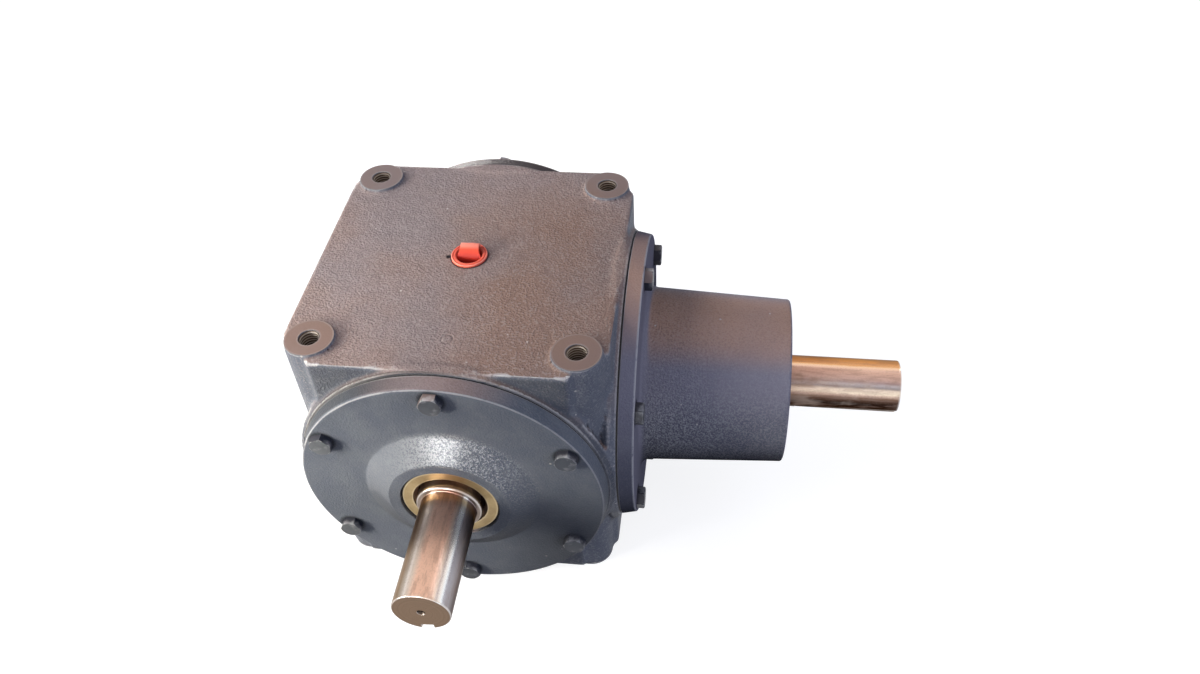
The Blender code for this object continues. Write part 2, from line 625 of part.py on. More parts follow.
def gear_mesh(bore, hand, phase):
    # Rings of tooth outline from toe to heel, closed by the hub, which has two corners per tooth
    mesh = bmesh.new()
    flank = [(-DEDENDUM, -1), (0.0, -1), (ADDENDUM, -1), (ADDENDUM, 1), (0.0, 1), (-DEDENDUM, 1)]
    rings = []
    for station in range(FACE_STATIONS):
        distance = toe_distance + FACE_WIDTH * station / (FACE_STATIONS - 1)
        ring = []
        for tooth in range(TEETH):
            start = phase + 2 * math.pi * tooth / TEETH + hand * spiral_lead(distance)
            for height, side in flank:
                radius, axial, angle = tooth_point(distance, height, side)
                ring.append((radius, axial, start + angle))
        rings.append(ring)
    per_tooth = len(flank)

    def place(radius, axial, angle):
        return mesh.verts.new((radius * math.cos(angle), radius * math.sin(angle), axial))

    teeth = [[place(*point) for point in ring] for ring in rings]
    for lower, upper in zip(teeth, teeth[1:]):
        for index in range(len(lower)):
            after = (index + 1) % len(lower)
            mesh.faces.new((lower[index], lower[after], upper[after], upper[index]))
    for ring in (teeth[0], teeth[-1]):
        for tooth in range(TEETH):
            mesh.faces.new(ring[tooth * per_tooth:(tooth + 1) * per_tooth])

    roots = (0, per_tooth - 1)
    heel_radius, heel_axial, _ = tooth_point(cone_distance, -DEDENDUM, 1)
    hub = bore + HUB_GEAR_WALL
    web = heel_axial + WEB_SETBACK
    section = [
        (heel_radius - WEB_SETBACK, web), (hub, web), (hub, gear_back), (around(bore, 2 * TEETH), gear_back),
        (around(bore, 2 * TEETH), gear_front)]
    toe = [rings[0][tooth * per_tooth + root][2] for tooth in range(TEETH) for root in roots]
    heel = [rings[-1][tooth * per_tooth + root][2] for tooth in range(TEETH) for root in roots]
    loops = [[teeth[-1][tooth * per_tooth + root] for tooth in range(TEETH) for root in roots]]
    for step, (radius, axial) in enumerate(section):
        share = max(0.0, (step - 1) / (len(section) - 2))
        loops.append([
            place(radius, axial, first + (last - first) * share) for first, last in zip(heel, toe)])
    loops.append([teeth[0][tooth * per_tooth + root] for tooth in range(TEETH) for root in roots])
    for lower, upper in zip(loops, loops[1:]):
        for index in range(len(lower)):
            after = (index + 1) % len(lower)
            mesh.faces.new((lower[index], lower[after], upper[after], upper[index]))
    return tidy(mesh)


def make_gear(name, parent, seat, hand, phase):
    low, high = gear_front - CUTTER_REACH, gear_back + CUTTER_REACH
    mesh = gear_mesh(seat + SEAT_GAP, hand, phase)
    mesh = combine(mesh, gear_key_block(seat, SEAT_GAP, low, high), "DIFFERENCE")
    solid(name, mesh, GEAR_STEEL, parent)
    solid(name + "_key", gear_key_block(seat, 0.0, *gear_key_span()), STEEL, parent)


def make_retaining_ring(parent):
    # Open ring in the groove in front of the input gear
    high = gear_front - SEAT_GAP
    low = high - RING_THICKNESS
    inner = around(input_gear_seat - RING_GROOVE + SEAT_GAP, RING_SIDES)
    mesh = bmesh.new()
    points = [(inner, low), (inner, high), (inner + RING_WALL, high), (inner + RING_WALL, low)]
    face = mesh.faces.new([mesh.verts.new((radius, 0, axial)) for radius, axial in points])
    start = Matrix.Rotation(math.radians(RING_GAP_ANGLE / 2), 3, "Z")
    bmesh.ops.rotate(mesh, verts=mesh.verts, cent=(0, 0, 0), matrix=start)
    bmesh.ops.spin(
        mesh, geom=[face], cent=(0, 0, 0), axis=(0, 0, 1), dvec=(0, 0, 0),
        angle=math.radians(360.0 - RING_GAP_ANGLE), steps=RING_SIDES)
    solid("input_gear_ring", tidy(mesh), STEEL, parent)


def roller_path(depth):
    # Radius of the roller axes at a depth from the back of the bearing, and of the rollers there
    path = roller_circle + (roller_middle - depth) * ROLLER_TAPER
    return path, ROLLER_RADIUS * path / roller_circle


def roller_mesh(place):
    # Tapered rollers joined by their cage: one outline, scaled along the bearing
    mesh = bmesh.new()
    ends = []
    for depth in (ROLLER_START, BEARING_WIDTH - ROLLER_END):
        path, radius = roller_path(depth)
        loops = []
        for outward in (1, -1):
            loop = []
            for count in range(ROLLER_COUNT):
                turn = Matrix.Rotation(2 * math.pi * count / ROLLER_COUNT, 3, "Z")
                for swing in (-CAGE_ANGLE, 0.0, CAGE_ANGLE):
                    angle = math.radians(swing)
                    spot = Vector((
                        path + outward * radius * math.cos(angle), radius * math.sin(angle), place(depth)))
                    loop.append(mesh.verts.new(turn @ spot))
            loops.append(loop)
        ends.append(loops)
    (back_outer, back_inner), (front_outer, front_inner) = ends
    pairs = (
        (back_outer, front_outer), (front_outer, front_inner),
        (front_inner, back_inner), (back_inner, back_outer))
    for lower, upper in pairs:
        for index in range(len(lower)):
            after = (index + 1) % len(lower)
            mesh.faces.new((lower[index], lower[after], upper[after], upper[index]))
    return tidy(mesh)


def make_bearing(name, fixed, turning, rolling, back, sense):
    # Tapered roller bearing: its back is the wide end of the cone, and sense points to its front
    def place(depth):
        return back + sense * depth

    def cone_race(depth):
        path, radius = roller_path(depth)
        return path - radius - RUN_GAP

    def cup_race(depth):
        path, radius = roller_path(depth)
        return around(path + radius + RUN_GAP, BEARING_SIDES)

    bore = around(seat_radius + SEAT_GAP, BEARING_SIDES)
    rib = cone_race(RIB_WIDTH) + RIB_HEIGHT
    cone = [
        (bore, 0), (rib, 0), (rib, RIB_WIDTH), (cone_race(RIB_WIDTH), RIB_WIDTH),
        (cone_race(BEARING_WIDTH), BEARING_WIDTH), (bore, BEARING_WIDTH)]
    open_edge = BEARING_WIDTH - CUP_WIDTH
    cup = [
        (cup_radius, open_edge), (cup_radius, BEARING_WIDTH), (cup_race(BEARING_WIDTH), BEARING_WIDTH),
        (cup_race(open_edge), open_edge)]
    for part, profile, parent in (("cone", cone, turning), ("cup", cup, fixed)):
        profile = [(radius, place(depth)) for radius, depth in profile]
        solid(f"{name}_{part}", revolve(profile, BEARING_SIDES), BEARING_STEEL, parent)
    solid(f"{name}_rollers", roller_mesh(place), CAGE_STEEL, rolling)


def make_seal(name, parent, outer, face):
    # Steel case with a flat outer face, and a lip that leans on the shaft collar
    lip = around(seat_radius + RUN_GAP, SHAFT_SIDES)
    inner = seal_radius - SEAL_FACE_WIDTH
    back = face - SEAL_WIDTH
    edge = face - SEAL_LIP_DEPTH
    profile = [
        (outer, back), (outer, face), (inner, face), (lip, edge), (inner, edge),
        (outer - SEAL_SHELL, face - SEAL_SHELL), (outer - SEAL_SHELL, back)]
    solid(name, revolve(profile, SHAFT_SIDES), SEAL_STEEL, parent)


def make_spacer(parent):
    low = bearing_back + BEARING_WIDTH + SEAT_GAP
    high = outer_back - BEARING_WIDTH - SEAT_GAP
    bore = around(seat_radius + SEAT_GAP, BEARING_SIDES)
    wide = bore + SPACER_WALL
    solid(
        "bearing_spacer", revolve([(bore, low), (bore, high), (wide, high), (wide, low)], BEARING_SIDES),
        STEEL, parent)


def make_locknut(parent):
    bore = around(seat_radius + SEAT_GAP, SHAFT_SIDES)
    wide = bore + LOCKNUT_WALL
    high = locknut_start + LOCKNUT_WIDTH
    nut = revolve([(bore, locknut_start), (bore, high), (wide, high), (wide, locknut_start)], SHAFT_SIDES)
    slot = block(
        (-LOCKNUT_SLOT / 2, wide - LOCKNUT_SLOT_DEPTH, locknut_start - CUTTER_REACH),
        (LOCKNUT_SLOT / 2, wide + CUTTER_REACH, high + CUTTER_REACH))
    quarters = [Matrix.Rotation(quarter * math.pi / 2, 4, "Z") for quarter in range(4)]
    solid("input_locknut", combine(nut, copies(slot, quarters), "DIFFERENCE"), STEEL, parent)


def make_fill_plug(parent):
    # Moulded cup with a flange, and a strap to pull it by that arches from the rear rim to the floor
    wall = PORT_RADIUS - SEAT_GAP
    seat = cast_top + SEAT_GAP
    top = seat + FILL_FLANGE_HEIGHT
    flange = PORT_RADIUS + FILL_FLANGE
    inner = wall - FILL_WALL
    floor = seat - FILL_DEPTH
    cup = revolve([
        (0, floor), (wall, floor), (wall, seat), (flange, seat), (flange, top), (inner, top),
        (inner, floor + FILL_WALL), (0, floor + FILL_WALL)], PORT_SIDES, closed=False)
    foot = (wall + inner) / 2
    low = (seat + top) / 2
    base = floor + FILL_WALL / 2
    rear = foot - STRAP_CREST
    front = STRAP_CREST + STRAP_FRONT
    outside, inside = [], []
    for line, skin in ((outside, 0.0), (inside, STRAP_THICKNESS)):
        high = top + STRAP_RISE - skin
        for y, z in arc((0, 0), 1.0, 0.0, 90.0, 3):
            line.append((STRAP_CREST + y * (rear - skin), low + z * (high - low)))
        for y, z in arc((0, 0), 1.0, 90.0, 180.0, 5)[1:]:
            line.append((STRAP_CREST + y * (front - skin), base + z * (high - base)))
    strap = prism(outside + inside[::-1], -STRAP_WIDTH / 2, STRAP_WIDTH / 2)
    stand = Matrix(((0, 0, 1, 0), (1, 0, 0, 0), (0, 1, 0, 0), (0, 0, 0, 1)))
    plug = combine(cup, copies(strap, [stand]), "UNION")
    solid("fill_plug", plug, RED_PLASTIC, parent, (0.0, FILL_PORT_BACK, 0.0))


def make_pipe_plug(name, parent, face):
    high = face - PIPE_PLUG_INSET
    low = high - PIPE_PLUG_LENGTH
    wide = PORT_RADIUS - SEAT_GAP
    plug = revolve([(0, low), (wide, low), (wide, high), (0, high)], PORT_SIDES, closed=False)
    corner = PIPE_PLUG_SOCKET * 2 / math.sqrt(3)
    socket = revolve([
        (0, high - PIPE_PLUG_SOCKET_DEPTH), (corner, high - PIPE_PLUG_SOCKET_DEPTH),
        (corner, high + CUTTER_REACH), (0, high + CUTTER_REACH)], HEX_SIDES, closed=False)
    solid(name, combine(plug, socket, "DIFFERENCE"), STEEL, parent)


def main():
    clear_scene()
    # The part stands on its four lower bosses, centred on its own footprint
    crossing = reference("shaft_crossing", (
        (max(housing_half, pad_root_radius) - input_end) / 2, (output_end - boss_face) / 2, boss_top))
    front = reference("output_axis", turns=FRONT, parent=crossing)
    right = reference("input_axis", turns=RIGHT, parent=crossing)
    rear = reference("rear_axis", turns=REAR, parent=crossing)
    left = reference("left_axis", turns=LEFT, parent=crossing)
    under = reference("under_axis", turns=DOWN, parent=crossing)

    make_housing(crossing)
    make_front_cover(front)
    make_rear_cover(rear)
    make_quill(right)
    for name, axis in (("front_cover", front), ("quill", right), ("rear_cover", rear)):
        make_gasket(name.replace("_cover", "") + "_gasket", axis)
        make_screws(name, axis)

    make_output_shaft(front)
    make_input_shaft(right)
    # A tooth of the output gear stands in a gap of the input gear where their pitch cones touch
    make_gear("output_gear", front, gear_seat, 1, 0.0)
    make_gear("input_gear", right, input_gear_seat, -1, math.pi + math.pi / TEETH)
    make_retaining_ring(right)
    make_spacer(right)
    make_locknut(right)

    make_bearing("front_bearing", front, front, front, bearing_back, 1)
    make_bearing("rear_bearing", rear, rear, rear, bearing_back, 1)
    make_bearing("inner_bearing", right, right, right, bearing_back, 1)
    make_bearing("outer_bearing", right, right, right, outer_back, -1)
    make_seal("output_seal", front, seal_radius, seal_face)
    make_seal("input_seal", right, quill_seal_radius, quill_seal_face)

    make_fill_plug(crossing)
    make_pipe_plug("drain_plug", under, cast_top)
    make_pipe_plug("level_plug", left, housing_half)


main()
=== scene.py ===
import json
import math

import bmesh
import bpy
import numpy
from mathutils import Matrix, Vector


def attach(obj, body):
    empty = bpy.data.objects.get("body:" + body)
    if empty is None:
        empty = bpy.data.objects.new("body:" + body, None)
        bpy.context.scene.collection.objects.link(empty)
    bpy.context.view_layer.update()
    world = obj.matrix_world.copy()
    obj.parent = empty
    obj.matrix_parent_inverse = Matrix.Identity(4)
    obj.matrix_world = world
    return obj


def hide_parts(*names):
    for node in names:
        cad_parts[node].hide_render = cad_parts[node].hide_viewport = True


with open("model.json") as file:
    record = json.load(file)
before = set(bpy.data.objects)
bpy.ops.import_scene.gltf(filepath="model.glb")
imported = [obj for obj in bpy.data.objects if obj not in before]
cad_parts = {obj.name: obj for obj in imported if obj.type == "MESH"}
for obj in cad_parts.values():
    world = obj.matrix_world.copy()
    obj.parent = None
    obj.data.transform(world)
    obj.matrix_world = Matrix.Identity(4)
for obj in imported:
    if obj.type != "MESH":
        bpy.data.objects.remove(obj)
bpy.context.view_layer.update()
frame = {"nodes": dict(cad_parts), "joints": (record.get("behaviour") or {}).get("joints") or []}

scene = bpy.context.scene
scene.view_settings.view_transform = "Standard"

# The shaft axes cross here, and every size below is in millimetres from that point
crossing = Vector(frame["joints"][0]["pos_m"])
toWorld = Matrix.Translation(crossing) @ Matrix.Scale(0.001, 4)


def turned(x, z):
    return toWorld @ Matrix.Rotation(math.radians(z), 4, "Z") @ Matrix.Rotation(math.radians(x), 4, "X")


# Each frame has its Z axis pointing out of that side, and Y up on the four walls
frontSide = turned(90, 0)
rightSide = turned(90, 90)
rearSide = turned(90, 180)
leftSide = turned(90, -90)
topSide = turned(0, 0)
underSide = turned(180, 0)


# Meshes

def rounded(points, steps=4):
    # Points are (radius, height) or (radius, height, fillet), and a fillet becomes a short arc
    line = []
    for index, point in enumerate(points):
        here = Vector(point[:2])
        fillet = point[2] if len(point) > 2 else 0
        if not fillet:
            line.append(here)
            continue
        before = (Vector(points[index - 1][:2]) - here).normalized()
        after = (Vector(points[(index + 1) % len(points)][:2]) - here).normalized()
        half = before.angle(after) / 2
        centre = here + (before + after).normalized() * (fillet / math.sin(half))
        first = here + before * (fillet / math.tan(half)) - centre
        last = here + after * (fillet / math.tan(half)) - centre
        sweep = first.angle_signed(last)
        for step in range(steps + 1):
            line.append(centre + Matrix.Rotation(-sweep * step / steps, 2) @ first)
    return line


def held(line, closed, gap=1.1):
    # A point near each end of a long straight, so that what is marked on an edge stays there
    result = []
    for index, here in enumerate(line):
        result.append(here)
        if index == len(line) - 1 and not closed:
            break
        after = line[(index + 1) % len(line)]
        if (after - here).length > 3 * gap:
            step = (after - here).normalized() * gap
            result += [here + step, after - step]
    return result


def spun(points, sides, closed=True, steps=4):
    bm = bmesh.new()
    rim = [bm.verts.new((spot[0], 0, spot[1])) for spot in held(rounded(points, steps), closed)]
    edges = [bm.edges.new(pair) for pair in zip(rim, rim[1:])]
    if closed:
        edges.append(bm.edges.new((rim[-1], rim[0])))
    bmesh.ops.spin(
        bm, geom=rim + edges, cent=(0, 0, 0), axis=(0, 0, 1), dvec=(0, 0, 0),
        angle=2 * math.pi, steps=sides, use_merge=True)
    return cleaned(bm)


def cleaned(bm):
    bmesh.ops.remove_doubles(bm, verts=bm.verts, dist=0.0005)
    bmesh.ops.recalc_face_normals(bm, faces=bm.faces)
    return bm


def raised(outline, low, high):
    bm = bmesh.new()
    face = bm.faces.new([bm.verts.new((x, y, low)) for x, y in outline])
    lift = bmesh.ops.extrude_face_region(bm, geom=[face])
    top = [part for part in lift["geom"] if isinstance(part, bmesh.types.BMVert)]
    bmesh.ops.translate(bm, verts=top, vec=(0, 0, high - low))
    return cleaned(bm)


def joined(source, matrices):
    mesh = bpy.data.meshes.new("copies")
    source.to_mesh(mesh)
    source.free()
    bm = bmesh.new()
    for matrix in matrices:
        start = len(bm.verts)
        bm.from_mesh(mesh)
        bm.verts.ensure_lookup_table()
        bmesh.ops.transform(bm, matrix=matrix, verts=bm.verts[start:])
    bpy.data.meshes.remove(mesh)
    return bm


def holder(bm):
    mesh = bpy.data.meshes.new("work")
    bm.to_mesh(mesh)
    bm.free()
    obj = bpy.data.objects.new("work", mesh)
    scene.collection.objects.link(obj)
    return obj


def baked(obj, *others):
    # The object's modifiers as a bmesh, and the working objects are removed
    bpy.context.view_layer.update()
    result = obj.evaluated_get(bpy.context.evaluated_depsgraph_get())
    bm = bmesh.new()
    bm.from_mesh(result.to_mesh())
    for work in (obj, *others):
        bpy.data.objects.remove(work, do_unlink=True)
    return bm


def cut(bm, tool, operation="DIFFERENCE"):
    base, other = holder(bm), holder(tool)
    modifier = base.modifiers.new("cut", "BOOLEAN")
    modifier.solver = "MANIFOLD"
    modifier.operation = operation
    modifier.object = other
    return baked(base, other)


def markTurns(mesh):
    # How sharply the surface turns at each point, in turns per millimetre: edges above zero, creases below
    count = len(mesh.vertices)
    places = numpy.zeros(count * 3)
    mesh.vertices.foreach_get("co", places)
    places = places.reshape(-1, 3) * 1000
    normals = numpy.zeros(count * 3)
    mesh.vertices.foreach_get("normal", normals)
    normals = normals.reshape(-1, 3)
    pairs = numpy.zeros(len(mesh.edges) * 2, dtype=int)
    mesh.edges.foreach_get("vertices", pairs)
    first, last = pairs.reshape(-1, 2).T
    step = places[last] - places[first]
    bend = ((normals[last] - normals[first]) * step).sum(1) / numpy.maximum((step ** 2).sum(1), 0.04)
    shares = numpy.bincount(first, minlength=count) + numpy.bincount(last, minlength=count)
    shares = numpy.maximum(shares, 1)
    turn = (numpy.bincount(first, bend, count) + numpy.bincount(last, bend, count)) / shares
    soft = (numpy.bincount(first, turn[last], count) + numpy.bincount(last, turn[first], count)) / shares
    attribute = mesh.attributes.new("edgeTurn", "FLOAT", "POINT")
    attribute.data.foreach_set("value", (turn + soft) / 2)


def piece(name, bm, place, finishes, body, nodes=(), sharp=32):
    bm.transform(place)
    mesh = bpy.data.meshes.new(name)
    bm.to_mesh(mesh)
    bm.free()
    for finish in finishes:
        mesh.materials.append(finish)
    mesh.shade_smooth()
    mesh.set_sharp_from_angle(angle=math.radians(sharp))
    markTurns(mesh)
    obj = bpy.data.objects.new(name, mesh)
    scene.collection.objects.link(obj)
    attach(obj, body)
    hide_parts(*nodes)
    return obj


# Shaders

class Wire:
    def __init__(self, tree, socket=None):
        self.tree = tree
        self.socket = socket

    def add(self, kind, settings=None, out=0, **inputs):
        node = self.tree.nodes.new("ShaderNode" + kind)
        for key, value in (settings or {}).items():
            if key == "stops":
                for place, colour in value[2:]:
                    node.color_ramp.elements.new(place)
                for element, (place, colour) in zip(node.color_ramp.elements, value):
                    element.position = place
                    element.color = (*colour, 1)
            else:
                setattr(node, key, value)
        for key, value in inputs.items():
            socket = node.inputs[int(key[1:]) if key[1:].isdigit() else key]
            if isinstance(value, Wire):
                self.tree.links.new(value.socket, socket)
            elif isinstance(value, tuple) and socket.type == "RGBA":
                socket.default_value = (*value, 1)
            else:
                socket.default_value = value
        return Wire(self.tree, node.outputs[out])

    def maths(self, operation, *values):
        return self.add("Math", {"operation": operation}, **{f"i{n}": value for n, value in enumerate(values)})

    def __add__(self, other):
        return self.maths("ADD", self, other)

    def __radd__(self, other):
        return self.maths("ADD", other, self)

    def __sub__(self, other):
        return self.maths("SUBTRACT", self, other)

    def __rsub__(self, other):
        return self.maths("SUBTRACT", other, self)

    def __mul__(self, other):
        return self.maths("MULTIPLY", self, other)

    def __rmul__(self, other):
        return self.maths("MULTIPLY", other, self)

    def __truediv__(self, other):
        return self.maths("DIVIDE", self, other)

    def __pow__(self, other):
        return self.maths("POWER", self, other)

    def between(self, low, high):
        return self.add(
            "MapRange", {"interpolation_type": "SMOOTHSTEP"},
            i0=self, i1=low, i2=high, i3=0.0, i4=1.0)

    def blend(self, first, second, way="MIX"):
        return self.add(
            "Mix", {"data_type": "RGBA", "blend_type": way}, out=2, i0=self, i6=first, i7=second)

    def noise(self, scale, detail=2.0, rough=0.5, out=0):
        return self.add("TexNoise", out=out, Vector=self, Scale=scale, Detail=detail, Roughness=rough)

    def cells(self, scale, feature="F1", out=0, spread=1.0):
        return self.add("TexVoronoi", {"feature": feature}, out=out, Vector=self, Scale=scale, Randomness=spread)

    def stretched(self, scale, turn=(0, 0, 0)):
        return self.add("Mapping", Vector=self, Scale=scale, Rotation=turn)

    def part(self, index):
        return self.add("SeparateXYZ", out=index, Vector=self)

    def length(self):
        return self.add("VectorMath", {"operation": "LENGTH"}, out=1, i0=self)

    def bump(self, distance, strength=1.0, under=None):
        more = {"Normal": under} if under else {}
        return self.add("Bump", Height=self, Distance=distance, Strength=strength, **more)


def material(name, **constants):
    made = bpy.data.materials.new(name)
    made.use_nodes = True
    shader = made.node_tree.nodes["Principled BSDF"]
    for key, value in constants.items():
        shader.inputs[key.replace("_", " ")].default_value = value
    wire = Wire(made.node_tree)
    where = wire.add("TexCoord", out=3)
    facing = wire.add("TexCoord", out=1)
    turn = wire.add("Attribute", {"attribute_name": "edgeTurn"}, out=2)

    def link(**sockets):
        for key, value in sockets.items():
            made.node_tree.links.new(value.socket, shader.inputs[key.replace("_", " ")])
    return made, where, facing, turn, link


def fromCrossing(where, place):
    # Object coordinates seen from one of the side frames, in millimetres
    turn = place.to_3x3().normalized().transposed().to_euler()
    moved = where.add("VectorMath", {"operation": "SUBTRACT"}, i0=where, i1=tuple(crossing))
    moved = moved.add("Mapping", Vector=moved, Rotation=tuple(turn), Scale=(1, 1, 1))
    return moved.add("VectorMath", {"operation": "SCALE"}, Vector=moved, Scale=1000.0)


enamelLook = {
    "paint": (0.1, 0.112, 0.134), "paintThin": (0.127, 0.139, 0.157), "wornAndGlinting": (0.42, 0.41, 0.405),
    "crease": (0.016, 0.016, 0.018), "valleyShadeColour": (0.028, 0.026, 0.028), "grit": 1700.0,
    "paintedSkyLight": (0.2, 0.19, 0.23), "paintedSkyLightShare": 0.0, "edgeHighlightShare": 0.0, "grainShare": 0.0, "shine": 0.04}


def enamel(name, look, areas):
    # Sprayed dark grey paint over rough casting. Dust and painted warm light lie on what faces up; edges show wear and
    # a painted glint, and painted shade and highlights fall in creases, on the pebbles and on undersides
    look = {**enamelLook, **look}
    made, where, facing, turn, link = material(
        name, Metallic=0.0, Specular_IOR_Level=look["shine"], Coat_Roughness=0.2)
    area = areas(where)
    smooth, gloss, dark, brownAndShade = area["smooth"], area["gloss"], area["dark"], area["brownAndShade"]
    drift = look["drift"]
    shifted = where.add("VectorMath", {"operation": "ADD"}, i0=where, i1=(drift, drift, drift))
    broad = shifted.noise(11.0, 3.0, 0.55)
    patch = shifted.noise(48.0, 4.0, 0.6)
    pebbles = shifted.noise(look["pebble"], 2.2, 0.5).between(0.3, 0.7)
    lumps = shifted.noise(95.0, 2.0, 0.5)
    grit = shifted.noise(look["grit"], 2.0, 0.6)
    chips = shifted.noise(150.0, 4.0, 0.7)

    # Dust and painted warm light lie on faces that look up
    dustAndTopLight = facing.part(2).between(*look["dustAndWarmLightRange"]) * (0.7 + 0.3 * broad.between(0.3, 0.65))
    paint = patch.between(0.35, 0.7).blend(look["paint"], look["paintThin"])
    # Painted sky light: a paler bluish tint on faces that look right or half up
    sideways = facing.part(0).between(0.35, 0.9)
    paintedSkyLight = facing.part(2).between(0.1, 0.75).maths("MAXIMUM", facing.part(2).between(0.1, 0.75), sideways)
    paintedSkyLight = paintedSkyLight * look["paintedSkyLightShare"]
    paint = paintedSkyLight.blend(paint, look["paintedSkyLight"])
    # Painted shade: faces that look down are painted much darker
    under = (0 - facing.part(2)).between(-0.1, 0.6)
    paint = (under * 0.85).blend(paint, (0.02, 0.021, 0.026))
    # Darker browner tone where the area function asks: the boss faces' own tone, and painted shade towards the right
    dustAndWarmLight = (broad * 0.6 + patch * 0.4).between(0.42, 0.6) * 0.35 + brownAndShade
    dustAndWarmLight = dustAndWarmLight.blend(look["dustAndWarmLight"], look["dustAndWarmLightDark"])
    colour = dustAndTopLight.blend(paint, dustAndWarmLight)
    # Painted shade in the pebble hollows
    valleyShade = (1 - pebbles.between(0.05, 0.45)) * (1 - smooth)
    colour = (valleyShade * (0.4 + 0.6 * dustAndTopLight) * look["valleyShadeShare"]).blend(colour, look["valleyShadeColour"])
    # Painted highlight on the pebble tops, not on faces that look down
    crestHighlight = pebbles.between(0.7, 0.98) * (1 - smooth) * (1 - under)
    colour = (crestHighlight * look["crestHighlightShare"]).blend(colour, (0.36, 0.34, 0.33))
    colour = (grit.between(0.5, 0.7) * look["grainShare"]).blend(colour, (0.36, 0.36, 0.36))
    # Painted sparkle highlight, on the cone and on the quill barrel
    paintedSparkle = (grit * 0.8 + pebbles * 0.2 - area["sparse"]).between(0.47, 0.54) * area["paintedSparkle"]
    colour = paintedSparkle.blend(colour, (0.62, 0.62, 0.6))
    # Edges are painted lighter: wear and a painted glint
    wearAndGlint = (turn + (chips - 0.5) * look["edgeBreak"]).between(*look["edgeRange"]) * (1 - area["clean"])
    colour = (wearAndGlint * look["edgeShare"]).blend(colour, look["wornAndGlinting"])
    # A thin painted highlight along the edge fillets that face the front
    line = facing.part(2).between(0.3, 0.55) * (1 - facing.part(2).between(0.8, 0.95)) * turn.between(0.02, 0.08)
    line = line * chips.between(0.3, 0.5) * (0 - facing.part(1)).between(0.1, 0.5) * (1 - area["clean"])
    colour = (line * look["edgeHighlightShare"]).blend(colour, (0.56, 0.55, 0.53))
    # A broken painted highlight along the flange joints
    colour = (chips.between(0.3, 0.5) * area["seamHighlight"]).blend(colour, look["wornAndGlinting"])
    # Painted shade in creases
    creaseShade = (0 - turn).between(*look["creaseRange"])
    colour = (creaseShade * (0.8 - 0.8 * area["clean"])).blend(colour, look["crease"])
    fleck = shifted.cells(95.0)
    chosen = shifted.cells(95.0, out=1).part(0)
    specks = (1 - fleck.between(0.045, 0.085)) * chosen.between(0.76, 0.78)
    colour = (specks * 0.7).blend(colour, (0.5, 0.47, 0.44))
    # Painted shade where the area function asks, and the housing's sand hole
    colour = dark.blend(colour, look["crease"])

    height = (pebbles * look["pebbleHeight"] + lumps * look["lumpHeight"]) * (1 - smooth * 0.9)
    height = height + grit * look["gritHeight"] - dark * 0.2 - area["dent"] * 0.3
    rough = 0.38 + 0.14 * patch + 0.12 * dustAndTopLight - 0.06 * wearAndGlint - 0.16 * gloss
    link(Base_Color=colour, Roughness=rough, Coat_Weight=gloss, Normal=height.bump(0.001))
    return made


def apart(spot, x, y):
    return ((spot.part(0) - x) ** 2 + (spot.part(1) - y) ** 2) ** 0.5


def housingAreas(where):
    # Boss faces are machined, and there is one sand hole beside the oil port; shade round the plug and on the pad
    # flank, left wall and pad band is painted
    spot = fromCrossing(where, topSide)
    level = spot.part(2)
    height = level.maths("ABSOLUTE", level)
    machined = height.between(98.85, 98.95)
    above = level.between(90.0, 91.0)
    pit = (1 - apart(spot, -13.9, 1.3).between(1.1, 2.2)) * above
    # Painted shadow ring round the fill plug
    contact = (1 - apart(spot, -0.6, 2.8).between(11.6, 12.9)) * above * 0.85
    # Painted shade on the front pad flank, on the left wall and in a band on the front pad's left
    flank = (0 - spot.part(1)).between(97.0, 98.2) * (1 - height.between(92.0, 95.5)) * 0.4
    flank = flank * (0.8 + 0.2 * spot.part(0).between(-80.0, -10.0))
    wall = (0 - spot.part(0)).between(88.0, 93.0) * (1 - (0 - spot.part(1)).between(90.0, 94.0))
    wall = wall * (1 - height.between(93.0, 96.0)) * 0.3
    band = (0 - spot.part(1)).between(99.2, 99.6) * (1 - spot.part(0).between(-10.0, 30.0)) * 0.55
    shaded = flank.maths("MAXIMUM", flank, wall) + machined * 0.1
    shaded = shaded.maths("MAXIMUM", shaded, band)
    # Boss faces get a browner tone, and painted shade makes the top darker and browner towards the right and front
    front = 1 - spot.part(1).between(10.0, 90.0) * 0.9
    middle = 1 - apart(spot, 0.0, -98.0).between(24.0, 44.0)
    bare = height.between(97.6, 98.4) * 0.78
    bare = bare.maths("MAXIMUM", bare, spot.part(0).between(86.0, 92.0) * 0.7)
    bare = bare.maths("MAXIMUM", bare, spot.part(1).between(84.0, 90.0))
    ring = apart(spot, 1.8, -71.8) - 3.4
    mark = (1 - ring.maths("ABSOLUTE", ring).between(0.3, 0.9)) * above
    return {
        "smooth": machined, "gloss": machined * 0.15, "clean": bare.maths("MAXIMUM", bare, middle * 0.7),
        "dark": pit.maths("MAXIMUM", pit, contact.maths("MAXIMUM", contact, shaded)), "paintedSparkle": 0.0, "sparse": 0.0,
        "seamHighlight": 0.0, "dent": mark, "brownAndShade": spot.part(0).between(-80.0, 80.0) * front * 0.9 + machined * 0.55}


def aroundScrews(spot):
    # Distance to the nearest of the six cover screws, in millimetres
    across = apart(spot, 0.0, 0.0)
    angle = spot.maths("ARCTAN2", spot.part(0), spot.part(1)) * (3 / math.pi)
    off = (angle - angle.maths("ROUND", angle)) * (math.pi / 3)
    reach = 86.0
    return (across ** 2 + reach ** 2 - across * off.maths("COSINE", off) * (2 * reach)) ** 0.5


